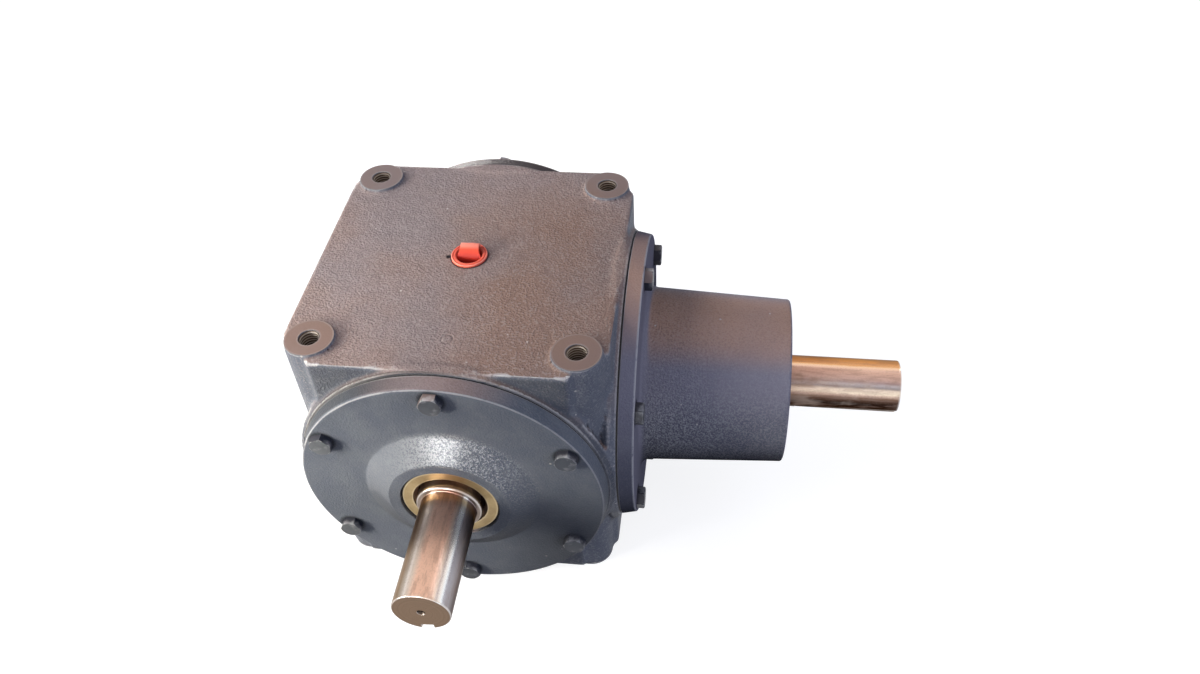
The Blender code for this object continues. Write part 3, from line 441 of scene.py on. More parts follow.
def coverAreas(side, rimShade):
    def areas(where):
        spot = fromCrossing(where, side)
        across = apart(spot, 0.0, 0.0)
        cone = across.between(36.0, 40.0) * (1 - across.between(53.0, 60.0)) * spot.part(1).between(-12.0, 24.0)
        lean = spot.part(0).between(-42.0, 12.0)
        # Dirt and painted shade round the screw heads
        screwDirtAndShade = (1 - aroundScrews(spot).between(6.9, 9.6)) * 0.75
        # Painted shade on the flange's side band: on the left, and all round on the rear cover
        edge = across.between(95.15, 95.5)
        rim = edge * (1 - spot.part(0).between(-45.0, 5.0)) * 0.62
        rim = rim.maths("MAXIMUM", rim, edge * rimShade)
        # A painted highlight line near the back edge of the flange, on the left
        seamHighlight = across.between(96.4, 96.6) * (1 - spot.part(2).between(102.6, 103.2)) * (1 - spot.part(0).between(-40.0, 10.0))
        shade = across.between(36.0, 40.0) * (1 - across.between(51.0, 58.0)) * (1 - spot.part(0).between(-25.0, -5.0))
        shade = shade * (1 - spot.part(1).between(-5.0, 34.0)) * 0.35
        shade = shade + spot.part(0).between(-25.0, 80.0) * (0.68 - 0.64 * spot.part(1).between(-50.0, 50.0))
        # Painted sparkle on the cone's upper left, sparser to the right; painted shade as a darker browner tone towards
        # the right
        return {
            "smooth": 0.72 - cone * lean * 0.72, "gloss": cone * 0.85, "clean": 0.0,
            "dark": screwDirtAndShade.maths("MAXIMUM", screwDirtAndShade, rim.maths("MAXIMUM", rim, shade)),
            "paintedSparkle": cone * lean * (0.5 - 0.3 * spot.part(0).between(25.0, 50.0)), "sparse": spot.part(0).between(-45.0, 55.0) * 0.21 - 0.11,
            "seamHighlight": seamHighlight * 0.6, "dent": 0.0, "brownAndShade": spot.part(0).between(-60.0, 110.0) * 0.4}
    return areas


def quillAreas(where):
    spot = fromCrossing(where, rightSide)
    out = spot.part(2)
    barrel = out.between(112.0, 118.0)
    # Dirt and painted shade round the screw heads
    screwDirtAndShade = (1 - aroundScrews(spot).between(6.9, 9.6)) * 0.75 * (1 - barrel)
    fade = 0.5 * out.between(125.0, 190.0)
    # Where the painted sparkle lies on the lower front of the barrel
    low = spot.part(1).between(-42.0, -20.0) * (1 - spot.part(1).between(14.0, 44.0))
    shade = (1 - spot.part(1).between(-52.0, 12.0)) * barrel * 0.5
    across = apart(spot, 0.0, 0.0)
    # A painted highlight line at the flange joint, low down
    seamHighlight = out.between(110.4, 110.8) * across.between(94.0, 94.4) * spot.part(1).between(-70.0, -30.0) * 0.35
    return {
        "smooth": 0.7 - barrel * (0.7 - fade), "gloss": barrel * spot.part(1).between(-30.0, 5.0) * 0.1, "clean": 0.0,
        "dark": screwDirtAndShade.maths("MAXIMUM", screwDirtAndShade, shade),
        "paintedSparkle": barrel * low * (1 - out.between(130.0, 200.0) * 0.6) * 0.2, "sparse": 0.0,
        "seamHighlight": seamHighlight, "dent": 0.0, "brownAndShade": 0.0}


castFinish = {
    "housing": {
        "paint": (0.116, 0.126, 0.151), "paintThin": (0.146, 0.155, 0.174),
        "dustAndWarmLight": (0.264, 0.204, 0.189), "dustAndWarmLightDark": (0.213, 0.14, 0.112), "edgeHighlightShare": 0.75, "dustAndWarmLightRange": (0.3, 0.9), "drift": 0.0,
        "valleyShadeShare": 0.13, "crestHighlightShare": 0.3, "edgeRange": (0.11, 0.19), "edgeBreak": 0.17, "edgeShare": 0.78,
        "creaseRange": (0.08, 0.32), "pebble": 760.0, "pebbleHeight": 0.27, "lumpHeight": 0.9, "gritHeight": 0.03},
    "cover": {
        "grit": 1500.0, "grainShare": 0.1, "dustAndWarmLight": (0.222, 0.163, 0.155), "dustAndWarmLightDark": (0.178, 0.124, 0.11), "dustAndWarmLightRange": (0.82, 1.0), "drift": 0.31,
        "valleyShadeShare": 0.4, "crestHighlightShare": 0.2, "edgeRange": (0.3, 0.42), "edgeBreak": 0.5, "edgeShare": 0.5,
        "creaseRange": (0.12, 0.3), "pebble": 760.0, "pebbleHeight": 0.4, "lumpHeight": 0.5, "gritHeight": 0.035}}
castFinish["rear"] = {**castFinish["cover"], "drift": 0.77, "dustAndWarmLightRange": (0.3, 0.8)}
castFinish["quill"] = {
    **castFinish["cover"], "paint": (0.098, 0.098, 0.12), "paintThin": (0.122, 0.122, 0.142),
    "shine": 0.0, "dustAndWarmLight": (0.36, 0.224, 0.165), "dustAndWarmLightDark": (0.3, 0.186, 0.138), "drift": 0.53, "dustAndWarmLightRange": (0.74, 1.0),
    "paintedSkyLightShare": 0.75, "valleyShadeShare": 0.28, "crestHighlightShare": 0.2, "pebble": 820.0, "pebbleHeight": 0.34}

housingEnamel = enamel("housingEnamel", castFinish["housing"], housingAreas)
coverEnamel = enamel("coverEnamel", castFinish["cover"], coverAreas(frontSide, 0.0))
rearEnamel = enamel("rearEnamel", castFinish["rear"], coverAreas(rearSide, 0.75))
quillEnamel = enamel("quillEnamel", castFinish["quill"], quillAreas)


def painted(name, along):
    # Thin paint on the screw heads, with painted light: facets that face up and left are painted lit, brown on the top
    # heads, and the others painted in shade
    made, where, facing, turn, link = material(name, Metallic=0.0, Specular_IOR_Level=0.22)
    patch = where.noise(160.0, 3.0, 0.6)
    grit = where.noise(1300.0, 2.0, 0.6)
    flat = facing.part(along)
    side = 1 - flat.maths("ABSOLUTE", flat).between(0.35, 0.75)
    lit = (facing.part(2) * 0.85 - facing.part(0) * 0.3 - facing.part(1) * 0.2).between(0.45, 0.8)
    level = where.part(2) - crossing.z
    # Painted light: heads high up get a brown lit facet colour, the others a dark one
    litFacetColour = level.between(0.05, 0.08).blend((0.032, 0.033, 0.042), (0.17, 0.127, 0.117))
    # Painted light and shade: end faces lighter on the left, darker on the right
    right = (where.part(0) - crossing.x).between(-0.07, 0.05)
    top = right.blend((0.088, 0.093, 0.098), (0.045, 0.05, 0.06))
    top = (patch.between(0.3, 0.7) * 0.4).blend(top, (0.03, 0.033, 0.04))
    # Painted shade: heads low down get a dark end face
    top = level.between(-0.08, -0.02).blend((0.022, 0.024, 0.03), top)
    # Facets that face up and left get the painted lit colour, the rest painted shade
    facet = lit.blend((0.016, 0.018, 0.028), litFacetColour)
    base = side.blend(top, facet)
    # Edges of the heads: wear and a painted glint
    wearAndGlint = (turn + (patch - 0.5) * 0.6).between(0.2, 0.5)
    link(
        Base_Color=(wearAndGlint * 0.5).blend(base, (0.5, 0.5, 0.5)), Roughness=0.32 + 0.2 * patch,
        Normal=(patch * 0.5 + grit * 0.3).bump(0.00008))
    return made


coverScrewEnamel = painted("coverScrewEnamel", 1)
quillScrewEnamel = painted("quillScrewEnamel", 0)


# Each shaft has bands of painted reflection lying along it, given by angle round the shaft in degrees, and one painted
# highlight stripe
shaftFinish = {
    "output": {
        "side": frontSide, "along": 1, "plain": (0.66, 0.57, 0.51), "end": (0.19, 0.134, 0.095), "rough": 0.24,
        "fade": (122.0, 182.0), "paintedStreakAngle": 224 / 360, "paintedReflections": [
            (-60, (0.4, 0.36, 0.33)), (-10, (0.12, 0.108, 0.108)), (8, (0.2, 0.185, 0.19)), (20, (0.34, 0.31, 0.315)),
            (30, (0.4, 0.38, 0.4)), (38, (0.55, 0.55, 0.6)), (41, (0.93, 0.97, 1.0)), (47, (0.93, 0.97, 1.0)), (51, (0.6, 0.6, 0.63)),
            (57, (0.82, 0.72, 0.65)), (64, (0.88, 0.63, 0.52)), (98, (0.88, 0.64, 0.53)), (110, (0.7, 0.65, 0.6)),
            (117, (0.82, 0.8, 0.77)), (123, (0.52, 0.45, 0.38)), (136, (0.34, 0.25, 0.17)), (150, (0.52, 0.41, 0.31)),
            (178, (0.4, 0.36, 0.33))]},
    "input": {
        "side": rightSide, "along": 0, "plain": (0.62, 0.54, 0.48), "end": (0.36, 0.27, 0.2), "rough": 0.24,
        "fade": (203.0, 262.0), "paintedStreakAngle": 272 / 360, "paintedReflections": [
            (-178, (0.02, 0.009, 0.006)), (-150, (0.035, 0.022, 0.016)), (-120, (0.4, 0.35, 0.31)),
            (20, (0.5, 0.43, 0.38)), (48, (0.5, 0.27, 0.12)), (72, (0.7, 0.33, 0.12)), (88, (0.82, 0.5, 0.26)),
            (92, (1.0, 0.78, 0.58)), (97, (0.86, 0.65, 0.56)), (106, (0.7, 0.51, 0.45)), (122, (0.62, 0.48, 0.47)),
            (129, (0.42, 0.35, 0.39)), (134, (0.52, 0.53, 0.62)), (140, (0.3, 0.3, 0.34)), (145, (0.78, 0.72, 0.65)),
            (153, (0.88, 0.76, 0.61)), (158, (0.6, 0.44, 0.35)), (164, (0.2, 0.12, 0.085)), (172, (0.07, 0.038, 0.026)),
            (180, (0.02, 0.009, 0.006))]}}


def steel(name, look):
    # Turned steel: fine rings round the axis under painted reflection bands and a painted highlight stripe, and a sawn
    # end
    made, where, facing, turn, link = material(name, Metallic=1.0, Specular_Tint=(0.45, 0.42, 0.4, 1))
    along = look["along"]
    spot = fromCrossing(where, look["side"])
    across = apart(spot, 0.0, 0.0)
    thin = [12.0, 12.0, 12.0]
    thin[along] = 5200.0
    rings = where.stretched(tuple(thin)).noise(1.0, 2.0, 0.7)
    long = [95.0, 95.0, 95.0]
    long[along] = 14.0
    streaks = where.stretched(tuple(long)).noise(1.0, 4.0, 0.65)
    blot = where.noise(30.0, 3.0, 0.6)
    grit = where.noise(820.0, 3.0, 0.7)
    # The painted reflection bands are looked up by angle round the shaft
    angle = spot.maths("ARCTAN2", spot.part(1), spot.part(0)) * (0.5 / math.pi) + 0.5
    angle = angle + (streaks - 0.5) * 0.018 + (grit - 0.5) * 0.014
    stops = [((turn + 180) / 360, colour) for turn, colour in look["paintedReflections"]]
    paintedReflection = where.add("ValToRGB", {"stops": stops}, i0=angle)
    # A narrow painted highlight stripe at one angle
    paintedStreak = angle - look["paintedStreakAngle"]
    paintedStreak = 1 - paintedStreak.maths("ABSOLUTE", paintedStreak).between(0.011, 0.024)
    bare = (streaks * 0.5 + blot * 0.5).between(0.52, 0.66) * (1 - paintedStreak) * 0.45
    base = bare.blend(paintedReflection, look["plain"])
    stain = blot.between(0.58, 0.7) * streaks.between(0.45, 0.62) * (1 - paintedStreak)
    base = (stain * 0.5).blend(base, (0.2, 0.13, 0.095))
    base = (grit.between(0.5, 0.62) * (1 - paintedStreak) * 0.14).blend(base, (0.2, 0.15, 0.13))
    drawn = where.stretched(tuple(4.5 * value for value in long)).noise(1.0, 3.0, 0.65)
    base = (drawn.between(0.46, 0.62) * (1 - paintedStreak) * 0.3).blend(base, (0.26, 0.18, 0.15))
    # Painted shade: the steel is darker towards the housing, except in the stripe
    shadeNearHousing = 1 - (spot.part(2) + (blot - 0.5) * 40.0).between(*look["fade"])
    shadeNearHousing = shadeNearHousing * (1 - across.between(17.8, 18.2)) * (1 - paintedStreak)
    base = shadeNearHousing.blend(base, (0.68, 0.6, 0.58), "MULTIPLY")
    # The collar is painted darker, a painted dark reflection
    base = (across.between(17.8, 18.2) * 0.8).blend(base, (0.22, 0.18, 0.155))
    # Edges are painted lighter: wear and a painted highlight
    base = (turn.between(0.15, 0.45) * 0.5).blend(base, (0.78, 0.74, 0.7))
    outward = facing.part(along) * (-1 if along else 1)
    sawn = outward.between(0.9, 0.98) * (1 - across.between(17.0, 17.3))
    arcs = across.noise(2.4, 2.0, 0.6)
    base = sawn.blend(base, arcs.between(0.3, 0.7).blend(look["end"], tuple(1.35 * value for value in look["end"])))
    # Painted shade inside the centre hole
    base = ((1 - across.between(2.2, 2.6)) * 0.85).blend(base, (0.03, 0.022, 0.018))
    link(
        Base_Color=base,
        Roughness=look["rough"] + 0.1 * streaks + 0.12 * stain + 0.16 * sawn - 0.1 * paintedStreak * spot.part(2).between(*look["fade"]),
        Normal=(rings * 0.4 + grit * 0.5 + arcs * sawn).bump(0.000012))
    return made


outputSteel = steel("outputSteel", shaftFinish["output"])
inputSteel = steel("inputSteel", shaftFinish["input"])


def plainSteel(name, colour, rough, fleck, shine=0.5):
    # Ground, hardened or pressed steel inside the box
    made, where, facing, turn, link = material(name, Metallic=1.0)
    cloud = where.noise(70.0, 3.0, 0.6)
    grain = where.noise(1400.0, 3.0, 0.6)
    wornAndGlinting = turn.between(0.1, 0.4)
    base = cloud.between(0.3, 0.7).blend(colour, tuple(0.72 * value for value in colour))
    base = (grain.between(0.55, 0.8) * fleck).blend(base, tuple(0.4 * value for value in colour))
    link(
        Base_Color=(wornAndGlinting * shine).blend(base, (0.8, 0.79, 0.77)),
        Roughness=rough + 0.14 * cloud + 0.06 * grain,
        Normal=grain.bump(0.00002))
    return made


gearSteel = plainSteel("gearSteel", (0.36, 0.36, 0.38), 0.3, 0.5)
bearingSteel = plainSteel("bearingSteel", (0.64, 0.64, 0.65), 0.14, 0.15)
cageSteel = plainSteel("cageSteel", (0.5, 0.47, 0.42), 0.26, 0.3)
machinedSteel = plainSteel("machinedSteel", (0.5, 0.5, 0.5), 0.28, 0.3)
plugSteel = plainSteel("plugSteel", (0.3, 0.3, 0.31), 0.36, 0.6)
threadIron = plainSteel("threadIron", (0.1, 0.078, 0.064), 0.5, 0.6, 0.3)


def sealFinish(name, side):
    made, where, facing, turn, link = material(name, Metallic=1.0)
    spot = fromCrossing(where, side)
    across = (spot.part(0) ** 2 + spot.part(1) ** 2) ** 0.5
    rings = across.noise(7.0, 2.0, 0.6)
    cloud = where.noise(90.0, 3.0, 0.6)
    grit = where.noise(1100.0, 2.0, 0.6)
    base = cloud.between(0.35, 0.7).blend((0.36, 0.265, 0.135), (0.26, 0.185, 0.09))
    base = (turn.between(0.1, 0.4) * 0.6).blend(base, (0.56, 0.46, 0.3))
    base = (grit.between(0.6, 0.8) * 0.4).blend(base, (0.25, 0.16, 0.06))
    link(
        Base_Color=base, Roughness=0.36 + 0.16 * cloud,
        Normal=(rings * 0.5 + grit * 0.4).bump(0.00004))
    return made


outputGold = sealFinish("outputGold", frontSide)
inputGold = sealFinish("inputGold", rightSide)


def darkRubber(name, colour, rough):
    made, where, facing, turn, link = material(name, Metallic=0.0)
    cloud = where.noise(120.0, 3.0, 0.6)
    grit = where.noise(1500.0, 2.0, 0.6)
    base = cloud.between(0.3, 0.7).blend(colour, tuple(1.8 * value for value in colour))
    link(
        Base_Color=base, Roughness=rough + 0.15 * cloud,
        Normal=(cloud * 0.4 + grit * 0.6).bump(0.00008))
    return made


lipRubber = darkRubber("lipRubber", (0.15, 0.095, 0.062), 0.28)
gasketSheet = darkRubber("gasketSheet", (0.012, 0.011, 0.011), 0.7)


plug = {
    "side": -0.6, "back": 2.8, "flange": 11.6, "seat": 96.3, "rim": 1.7, "groove": 0.7, "lip": 8.9, "wall": 9.0, "inner": 7.9,
    "depth": 9.0, "floor": 1.4, "strapHalf": 6.0, "strapRise": 4.2, "strapCrest": 5.2, "strapFront": 3.8,
    "strapFoot": 8.3, "strapThick": 1.2, "flare": 0.32, "flareRun": 4.0, "flareTop": 2.5}


def mouldedRed():
    made, where, facing, turn, link = material("mouldedRed", Metallic=0.0, Specular_IOR_Level=0.25)
    cloud = where.noise(180.0, 3.0, 0.55)
    grain = where.noise(1700.0, 2.0, 0.6)
    depth = (where.part(2) - crossing.z) * 1000
    inside = 1 - apart(fromCrossing(where, topSide), plug["side"], plug["back"]).between(7.8, 8.4)
    base = cloud.between(0.3, 0.75).blend((0.64, 0.075, 0.036), (0.58, 0.06, 0.03))
    # Painted highlights on the edges, the strap's crest and the flange outside the cup
    paintedHighlight = (turn.between(0.4, 0.9) * 0.5).maths("MAXIMUM", turn.between(0.4, 0.9) * 0.5, depth.between(100.6, 102.2) * 0.4)
    base = (paintedHighlight + (1 - inside) * 0.12).blend(base, (0.95, 0.42, 0.32))
    # Painted shade in the creases
    base = ((0 - turn).between(0.1, 0.6) * 0.5).blend(base, (0.3, 0.012, 0.008))
    # Painted shade inside the cup, darker with depth
    base = ((1 - depth.between(97.0, 101.6)) * inside * 0.9).blend(base, (0.41, 0.018, 0.01))
    base = ((1 - depth.between(91.5, 97.5)) * inside * 0.95).blend(base, (0.16, 0.003, 0.002))
    link(
        Base_Color=base, Roughness=0.36 + 0.2 * cloud,
        Normal=(cloud * 0.5 + grain * 0.4).bump(0.00006))
    return made


redPlastic = mouldedRed()
print("finishes ready")


# Housing: cast roughly, smoothed, then its faces and holes are machined

housing = {
    "half": 98.0, "castTop": 96.2, "bossTop": 99.0, "spacing": 79.375, "bossRadius": 14.7,
    "column": 15.3, "stepRun": 3.9, "padFace": 100.9, "padRadius": 97.4, "padRoot": 101.0,
    "padTop": 97.6, "portBack": 2.8, "rootDepth": 4.4, "backDepth": 8.4, "bore": 76.0, "wall": 12.0, "ceiling": 10.0,
    "portRadius": 9.3, "spare": 3.0, "voxel": 1.35, "smoothing": 6, "keep": 0.4,
    "holeRadius": 6.36, "holeDepth": 25.0, "mouth": 0.2}


def corners(spacing):
    return [(x * spacing, y * spacing) for x, y in ((1, 1), (-1, 1), (-1, -1), (1, -1))]


def castOutline(size):
    outline = []
    for quarter in range(4):
        turn = Matrix.Rotation(quarter * math.pi / 2, 2)
        side = [(size["half"], size["spacing"] - size["stepRun"])]
        for step in range(13):
            angle = math.pi / 2 * step / 12
            side.append((
                size["spacing"] + size["column"] * math.cos(angle),
                size["spacing"] + size["column"] * math.sin(angle)))
        side.append((size["spacing"] - size["stepRun"], size["half"]))
        outline += [turn @ Vector(spot) for spot in side]
    return outline


def cavityOutline(size):
    half = size["half"] - size["wall"]
    short = 2 * size["spacing"] - size["column"] * math.sqrt(2) - half
    outline = []
    for quarter in range(4):
        turn = Matrix.Rotation(quarter * math.pi / 2, 2)
        outline += [turn @ Vector(spot) for spot in ((half, short), (short, half))]
    return outline


def inMillimetres(side):
    return toWorld.inverted() @ side


def makeHousing(size):
    threeSides = [inMillimetres(side) for side in (frontSide, rightSide, rearSide)]
    bm = raised(castOutline(size), -size["castTop"], size["castTop"])
    tall = size["bossTop"] + size["spare"]
    boss = spun(
        [(0, 60), (size["bossRadius"], 60), (size["bossRadius"], tall), (0, tall)], 64, closed=False)
    ends = []
    for x, y in corners(size["spacing"]):
        place = Matrix.Translation((x, y, 0))
        ends += [place, Matrix.Rotation(math.pi, 4, "X") @ place]
    bm = cut(bm, joined(boss, ends), "UNION")
    pad = size["padFace"]
    for side in threeSides:
        disc = spun([
            (0, pad - size["backDepth"]),
            (size["padRoot"] - size["backDepth"] + size["rootDepth"], pad - size["backDepth"]),
            (size["padRoot"], pad - size["rootDepth"]), (size["padRadius"], pad),
            (size["padRadius"], pad + size["spare"]), (0, pad + size["spare"])], 160, closed=False)
        wide = 2 * size["half"]
        slab = raised([(-wide, -size["padTop"]), (wide, -size["padTop"]), (wide, size["padTop"]), (-wide, size["padTop"])], 0, wide)
        bm = cut(bm, joined(cut(disc, slab, "INTERSECT"), [side]), "UNION")
    level = size["castTop"] - size["ceiling"]
    bm = cut(bm, raised(cavityOutline(size), -level, level))
    for side in threeSides:
        bore = spun([(0, 80), (size["bore"], 80), (size["bore"], 110), (0, 110)], 128, closed=False)
        bm = cut(bm, joined(bore, [side]))

    cast = holder(bm)
    remesh = cast.modifiers.new("sand", "REMESH")
    remesh.mode = "VOXEL"
    remesh.voxel_size = size["voxel"]
    soften = cast.modifiers.new("soften", "SMOOTH")
    soften.factor = 0.5
    soften.iterations = size["smoothing"]
    thin = cast.modifiers.new("thin", "DECIMATE")
    thin.ratio = size["keep"]
    bm = baked(cast)

    bm = cut(bm, machined(size), "INTERSECT")
    floor = size["bossTop"] - size["holeDepth"]
    wide = size["holeRadius"] + size["mouth"]
    hole = spun([
        (0, floor), (size["holeRadius"], floor), (size["holeRadius"], size["bossTop"] - size["mouth"]),
        (wide + 2, size["bossTop"] + 2), (0, size["bossTop"] + 2)], 48, closed=False)
    bm = cut(bm, joined(hole, ends))
    fill = Matrix.Translation((0, size["portBack"], 0))
    for place in (fill, inMillimetres(underSide), inMillimetres(leftSide)):
        port = spun([(0, 80), (size["portRadius"], 80), (size["portRadius"], 110), (0, 110)], 48, closed=False)
        bm = cut(bm, joined(port, [place]))
    faced = [face for face in bm.faces if abs(face.normal.z) > 0.999 and abs(face.calc_center_median().z) > 98.9]
    for width in (0.5, 0.6):
        bmesh.ops.inset_region(bm, faces=faced, thickness=width, use_even_offset=True, use_boundary=True)
    return piece("housingCasting", bm, toWorld, [housingEnamel], "housing", ["housing"])


def machined(size):
    # The block that is left when the pads and bosses are faced
    bm = bmesh.new()
    bmesh.ops.create_cube(bm, size=2)
    for vert in bm.verts:
        vert.co.x = size["padFace"] if vert.co.x > 0 else -120
        vert.co.y *= size["padFace"]
        vert.co.z *= size["bossTop"]
    return bm


makeHousing(housing)
print("housing cast and machined")


thread = {"crest": 5.45, "root": 6.34, "pitch": 1.954, "turns": 11, "steps": 32, "top": 98.9, "skin": 0.12}


def makeThreads(size):
    # One pitch of profile, wound down the hole
    bm = bmesh.new()
    top = size["top"]
    flat = size["pitch"] * 0.1
    points = [
        (size["root"], top), (size["root"], top - flat), (size["crest"], top - size["pitch"] / 2),
        (size["crest"], top - size["pitch"] / 2 - flat), (size["root"], top - size["pitch"])]
    rim = [bm.verts.new((radius, 0, z)) for radius, z in points]
    edges = [bm.edges.new(pair) for pair in zip(rim, rim[1:])]
    count = size["turns"] * size["steps"]
    bmesh.ops.spin(
        bm, geom=rim + edges, cent=(0, 0, 0), axis=(0, 0, 1), dvec=(0, 0, -size["pitch"] / size["steps"]),
        angle=2 * math.pi * size["turns"], steps=count)
    bmesh.ops.remove_doubles(bm, verts=bm.verts, dist=0.001)
    bmesh.ops.recalc_face_normals(bm, faces=bm.faces)
    middle = min(bm.faces, key=lambda face: abs(face.calc_center_median().z - top + 10))
    spot = middle.calc_center_median()
    if middle.normal.dot(Vector((spot.x, spot.y, 0))) > 0:
        bmesh.ops.reverse_faces(bm, faces=bm.faces)
    places = []
    for x, y in corners(housing["spacing"]):
        place = Matrix.Translation((x, y, 0))
        places += [place, Matrix.Rotation(math.pi, 4, "X") @ place]
    return piece("mountThreads", joined(bm, places), toWorld, [threadIron], "housing")


makeThreads(thread)
print("threads wound")


# Covers, quill and gaskets

cover = {
    "flange": 97.0, "faceRadius": 95.0, "back": 101.9, "face": 111.8, "edge": 1.1, "pilot": 75.75,
    "pilotEnd": 91.4, "cup": 36.97, "shoulder": 108.3, "boss": 121.0, "bossRadius": 38.5, "foot": 55.0,
    "sealBore": 31.19, "sealLedge": 112.25, "ledge": 28.8, "floor": 113.0, "sides": 160}


def flangeLine(size):
    return [
        (size["faceRadius"], size["face"], size["edge"]), (size["flange"], size["back"], 0.5),
        (size["pilot"], size["back"]), (size["pilot"], size["pilotEnd"], 0.6),
        (size["cup"], size["pilotEnd"]), (size["cup"], size["shoulder"])]


def bossLine(size):
    return [
        (size["bossRadius"], size["boss"], 1.3), (size["foot"], size["face"], 4.0)]


def makeCovers(size):
    sealed = [(size["sealBore"], size["boss"], 0.35)] + bossLine(size) + flangeLine(size) + [
        (size["ledge"], size["shoulder"]), (size["ledge"], size["sealLedge"]),
        (size["sealBore"], size["sealLedge"])]
    piece(
        "frontCoverCasting", spun(sealed, size["sides"], steps=6), frontSide, [coverEnamel],
        "housing", ["front_cover"])
    blank = [(0, size["boss"])] + bossLine(size) + flangeLine(size) + [
        (size["ledge"], size["shoulder"]), (size["ledge"], size["floor"]), (0, size["floor"])]
    piece(
        "rearCoverCasting", spun(blank, size["sides"], closed=False, steps=6), rearSide, [rearEnamel],
        "housing", ["rear_cover"])


makeCovers(cover)


quill = {
    "tip": 54.97, "foot": 59.47, "end": 206.5, "edge": 1.6, "rootRound": 6.0, "sealBore": 37.47,
    "ledge": 197.75, "outerShoulder": 167.4, "barrel": 33.47}


def makeQuill(size):
    line = [
        (size["sealBore"], size["end"], 0.4), (size["tip"], size["end"], size["edge"]),
        (size["foot"], cover["face"], size["rootRound"])] + flangeLine(cover) + [
        (size["barrel"], cover["shoulder"]), (size["barrel"], size["outerShoulder"]),
        (cover["cup"], size["outerShoulder"]), (cover["cup"], size["ledge"]), (size["sealBore"], size["ledge"])]
    piece(
        "quillCasting", spun(line, cover["sides"], steps=6), rightSide, [quillEnamel],
        "housing", ["quill"])


makeQuill(quill)


gasket = {"inner": 76.1, "outer": 96.3, "low": 100.92, "high": 101.88}


def makeGaskets(size):
    for name, side in (("front", frontSide), ("quill", rightSide), ("rear", rearSide)):
        ring = spun([
            (size["inner"], size["low"]), (size["inner"], size["high"]),
            (size["outer"], size["high"]), (size["outer"], size["low"])], cover["sides"])
        piece(name + "GasketRing", ring, side, [gasketSheet], "housing", [name + "_gasket"])


makeGaskets(gasket)
print("covers, quill and gaskets turned")


# Cover screws

screw = {
    "count": 6, "circle": 86.0, "flats": 12.7, "head": 5.2, "shank": 3.95, "reach": 89.5, "seat": 111.82,
    "clocking": {
        "front_cover": (30, -9, 35, 14, 30, 48), "quill": (6, 31, 17, 50, 2, 24),
        "rear_cover": (44, 12, 28, 8, 33, 19)}}


def hexScrew(size):
    corner = size["flats"] / math.sqrt(3)
    top = size["seat"] + size["head"]
    bm = bmesh.new()
    bmesh.ops.create_cone(
        bm, cap_ends=True, cap_tris=False, segments=6, radius1=corner, radius2=corner, depth=size["head"],
        matrix=Matrix.Translation((0, 0, size["seat"] + size["head"] / 2)))
    cone = spun([
        (0, size["seat"] - 1), (corner + 0.15, size["seat"] - 1), (corner + 0.15, top - 0.75),
        (size["flats"] / 2 + 0.1, top, 0.3), (0, top)], 48, closed=False, steps=2)
    bm = cut(bm, cone, "INTERSECT")
    upright = [
        edge for edge in bm.edges
        if abs(edge.verts[0].co.z - edge.verts[1].co.z) > size["head"] * 0.5 and edge.calc_face_angle(0) > 0.5]
    bmesh.ops.bevel(
        bm, geom=upright, offset=0.22, offset_type="OFFSET", segments=2, profile=0.5, affect="EDGES",
        clamp_overlap=True, material=-1)
    shank = spun([
        (0, size["reach"]), (size["shank"] - 0.6, size["reach"]), (size["shank"], size["reach"] + 0.8),
        (size["shank"], size["seat"] + 0.3), (0, size["seat"] + 0.3)], 24, closed=False)
    return cut(bm, shank, "UNION")


def makeScrews(size):
    for name, side in (("front_cover", frontSide), ("quill", rightSide), ("rear_cover", rearSide)):
        finish = quillScrewEnamel if name == "quill" else coverScrewEnamel
        for index in range(size["count"]):
            angle = math.pi / 2 + 2 * math.pi * index / size["count"]
            place = Matrix.Translation((size["circle"] * math.cos(angle), size["circle"] * math.sin(angle), 0))
            clock = Matrix.Rotation(math.radians(size["clocking"][name][index]), 4, "Z")
            piece(
                f"{name}HexScrew{index + 1}", hexScrew(size), side @ place @ clock, [finish], "housing",
                [f"{name}_screw_{index + 1}"], sharp=28)


makeScrews(screw)
print("screws set")


# Shafts

shaft = {
    "radius": 17.4625, "seat": 20.6375, "gearSeat": 22.225, "inputGearSeat": 19.05, "gearBack": 88.2,
    "gearFront": 47.73, "rearEnd": 110.85, "outputCollar": 123.9, "outputEnd": 195.4, "inputCollar": 208.7,
    "inputEnd": 280.9, "edge": 0.9, "collarEdge": 1.3, "centre": 2.6, "centreDepth": 4.6, "pilot": 1.1,
    "pilotDepth": 8.0, "stopWidth": 8.0, "stopHeight": 4.5, "ring": 1.5, "ringWidth": 2.0, "tail": 3.0,
    "keyWidth": 7.9375, "keyDepth": 4.4, "cutter": 30.0, "outputKey": 50.0, "inputKey": 52.0,
    "outputTurn": -84.0, "inputTurn": -143.0, "sides": 128,
    "gearKeyWidth": 9.6, "gearKeyLow": 53.9, "gearKeyHigh": 82.0, "gearKeyDepth": 4.6}


def shaftEnd(size, collar, end):
    return [
        (size["seat"], collar, size["collarEdge"]), (size["radius"], collar, 0.5),
        (size["radius"], end, size["edge"]), (size["centre"], end, 0.15),
        (size["pilot"], end - (size["centre"] - size["pilot"]) * 1.6),
        (size["pilot"], end - size["pilotDepth"]), (0, end - size["pilotDepth"] - 0.6)]


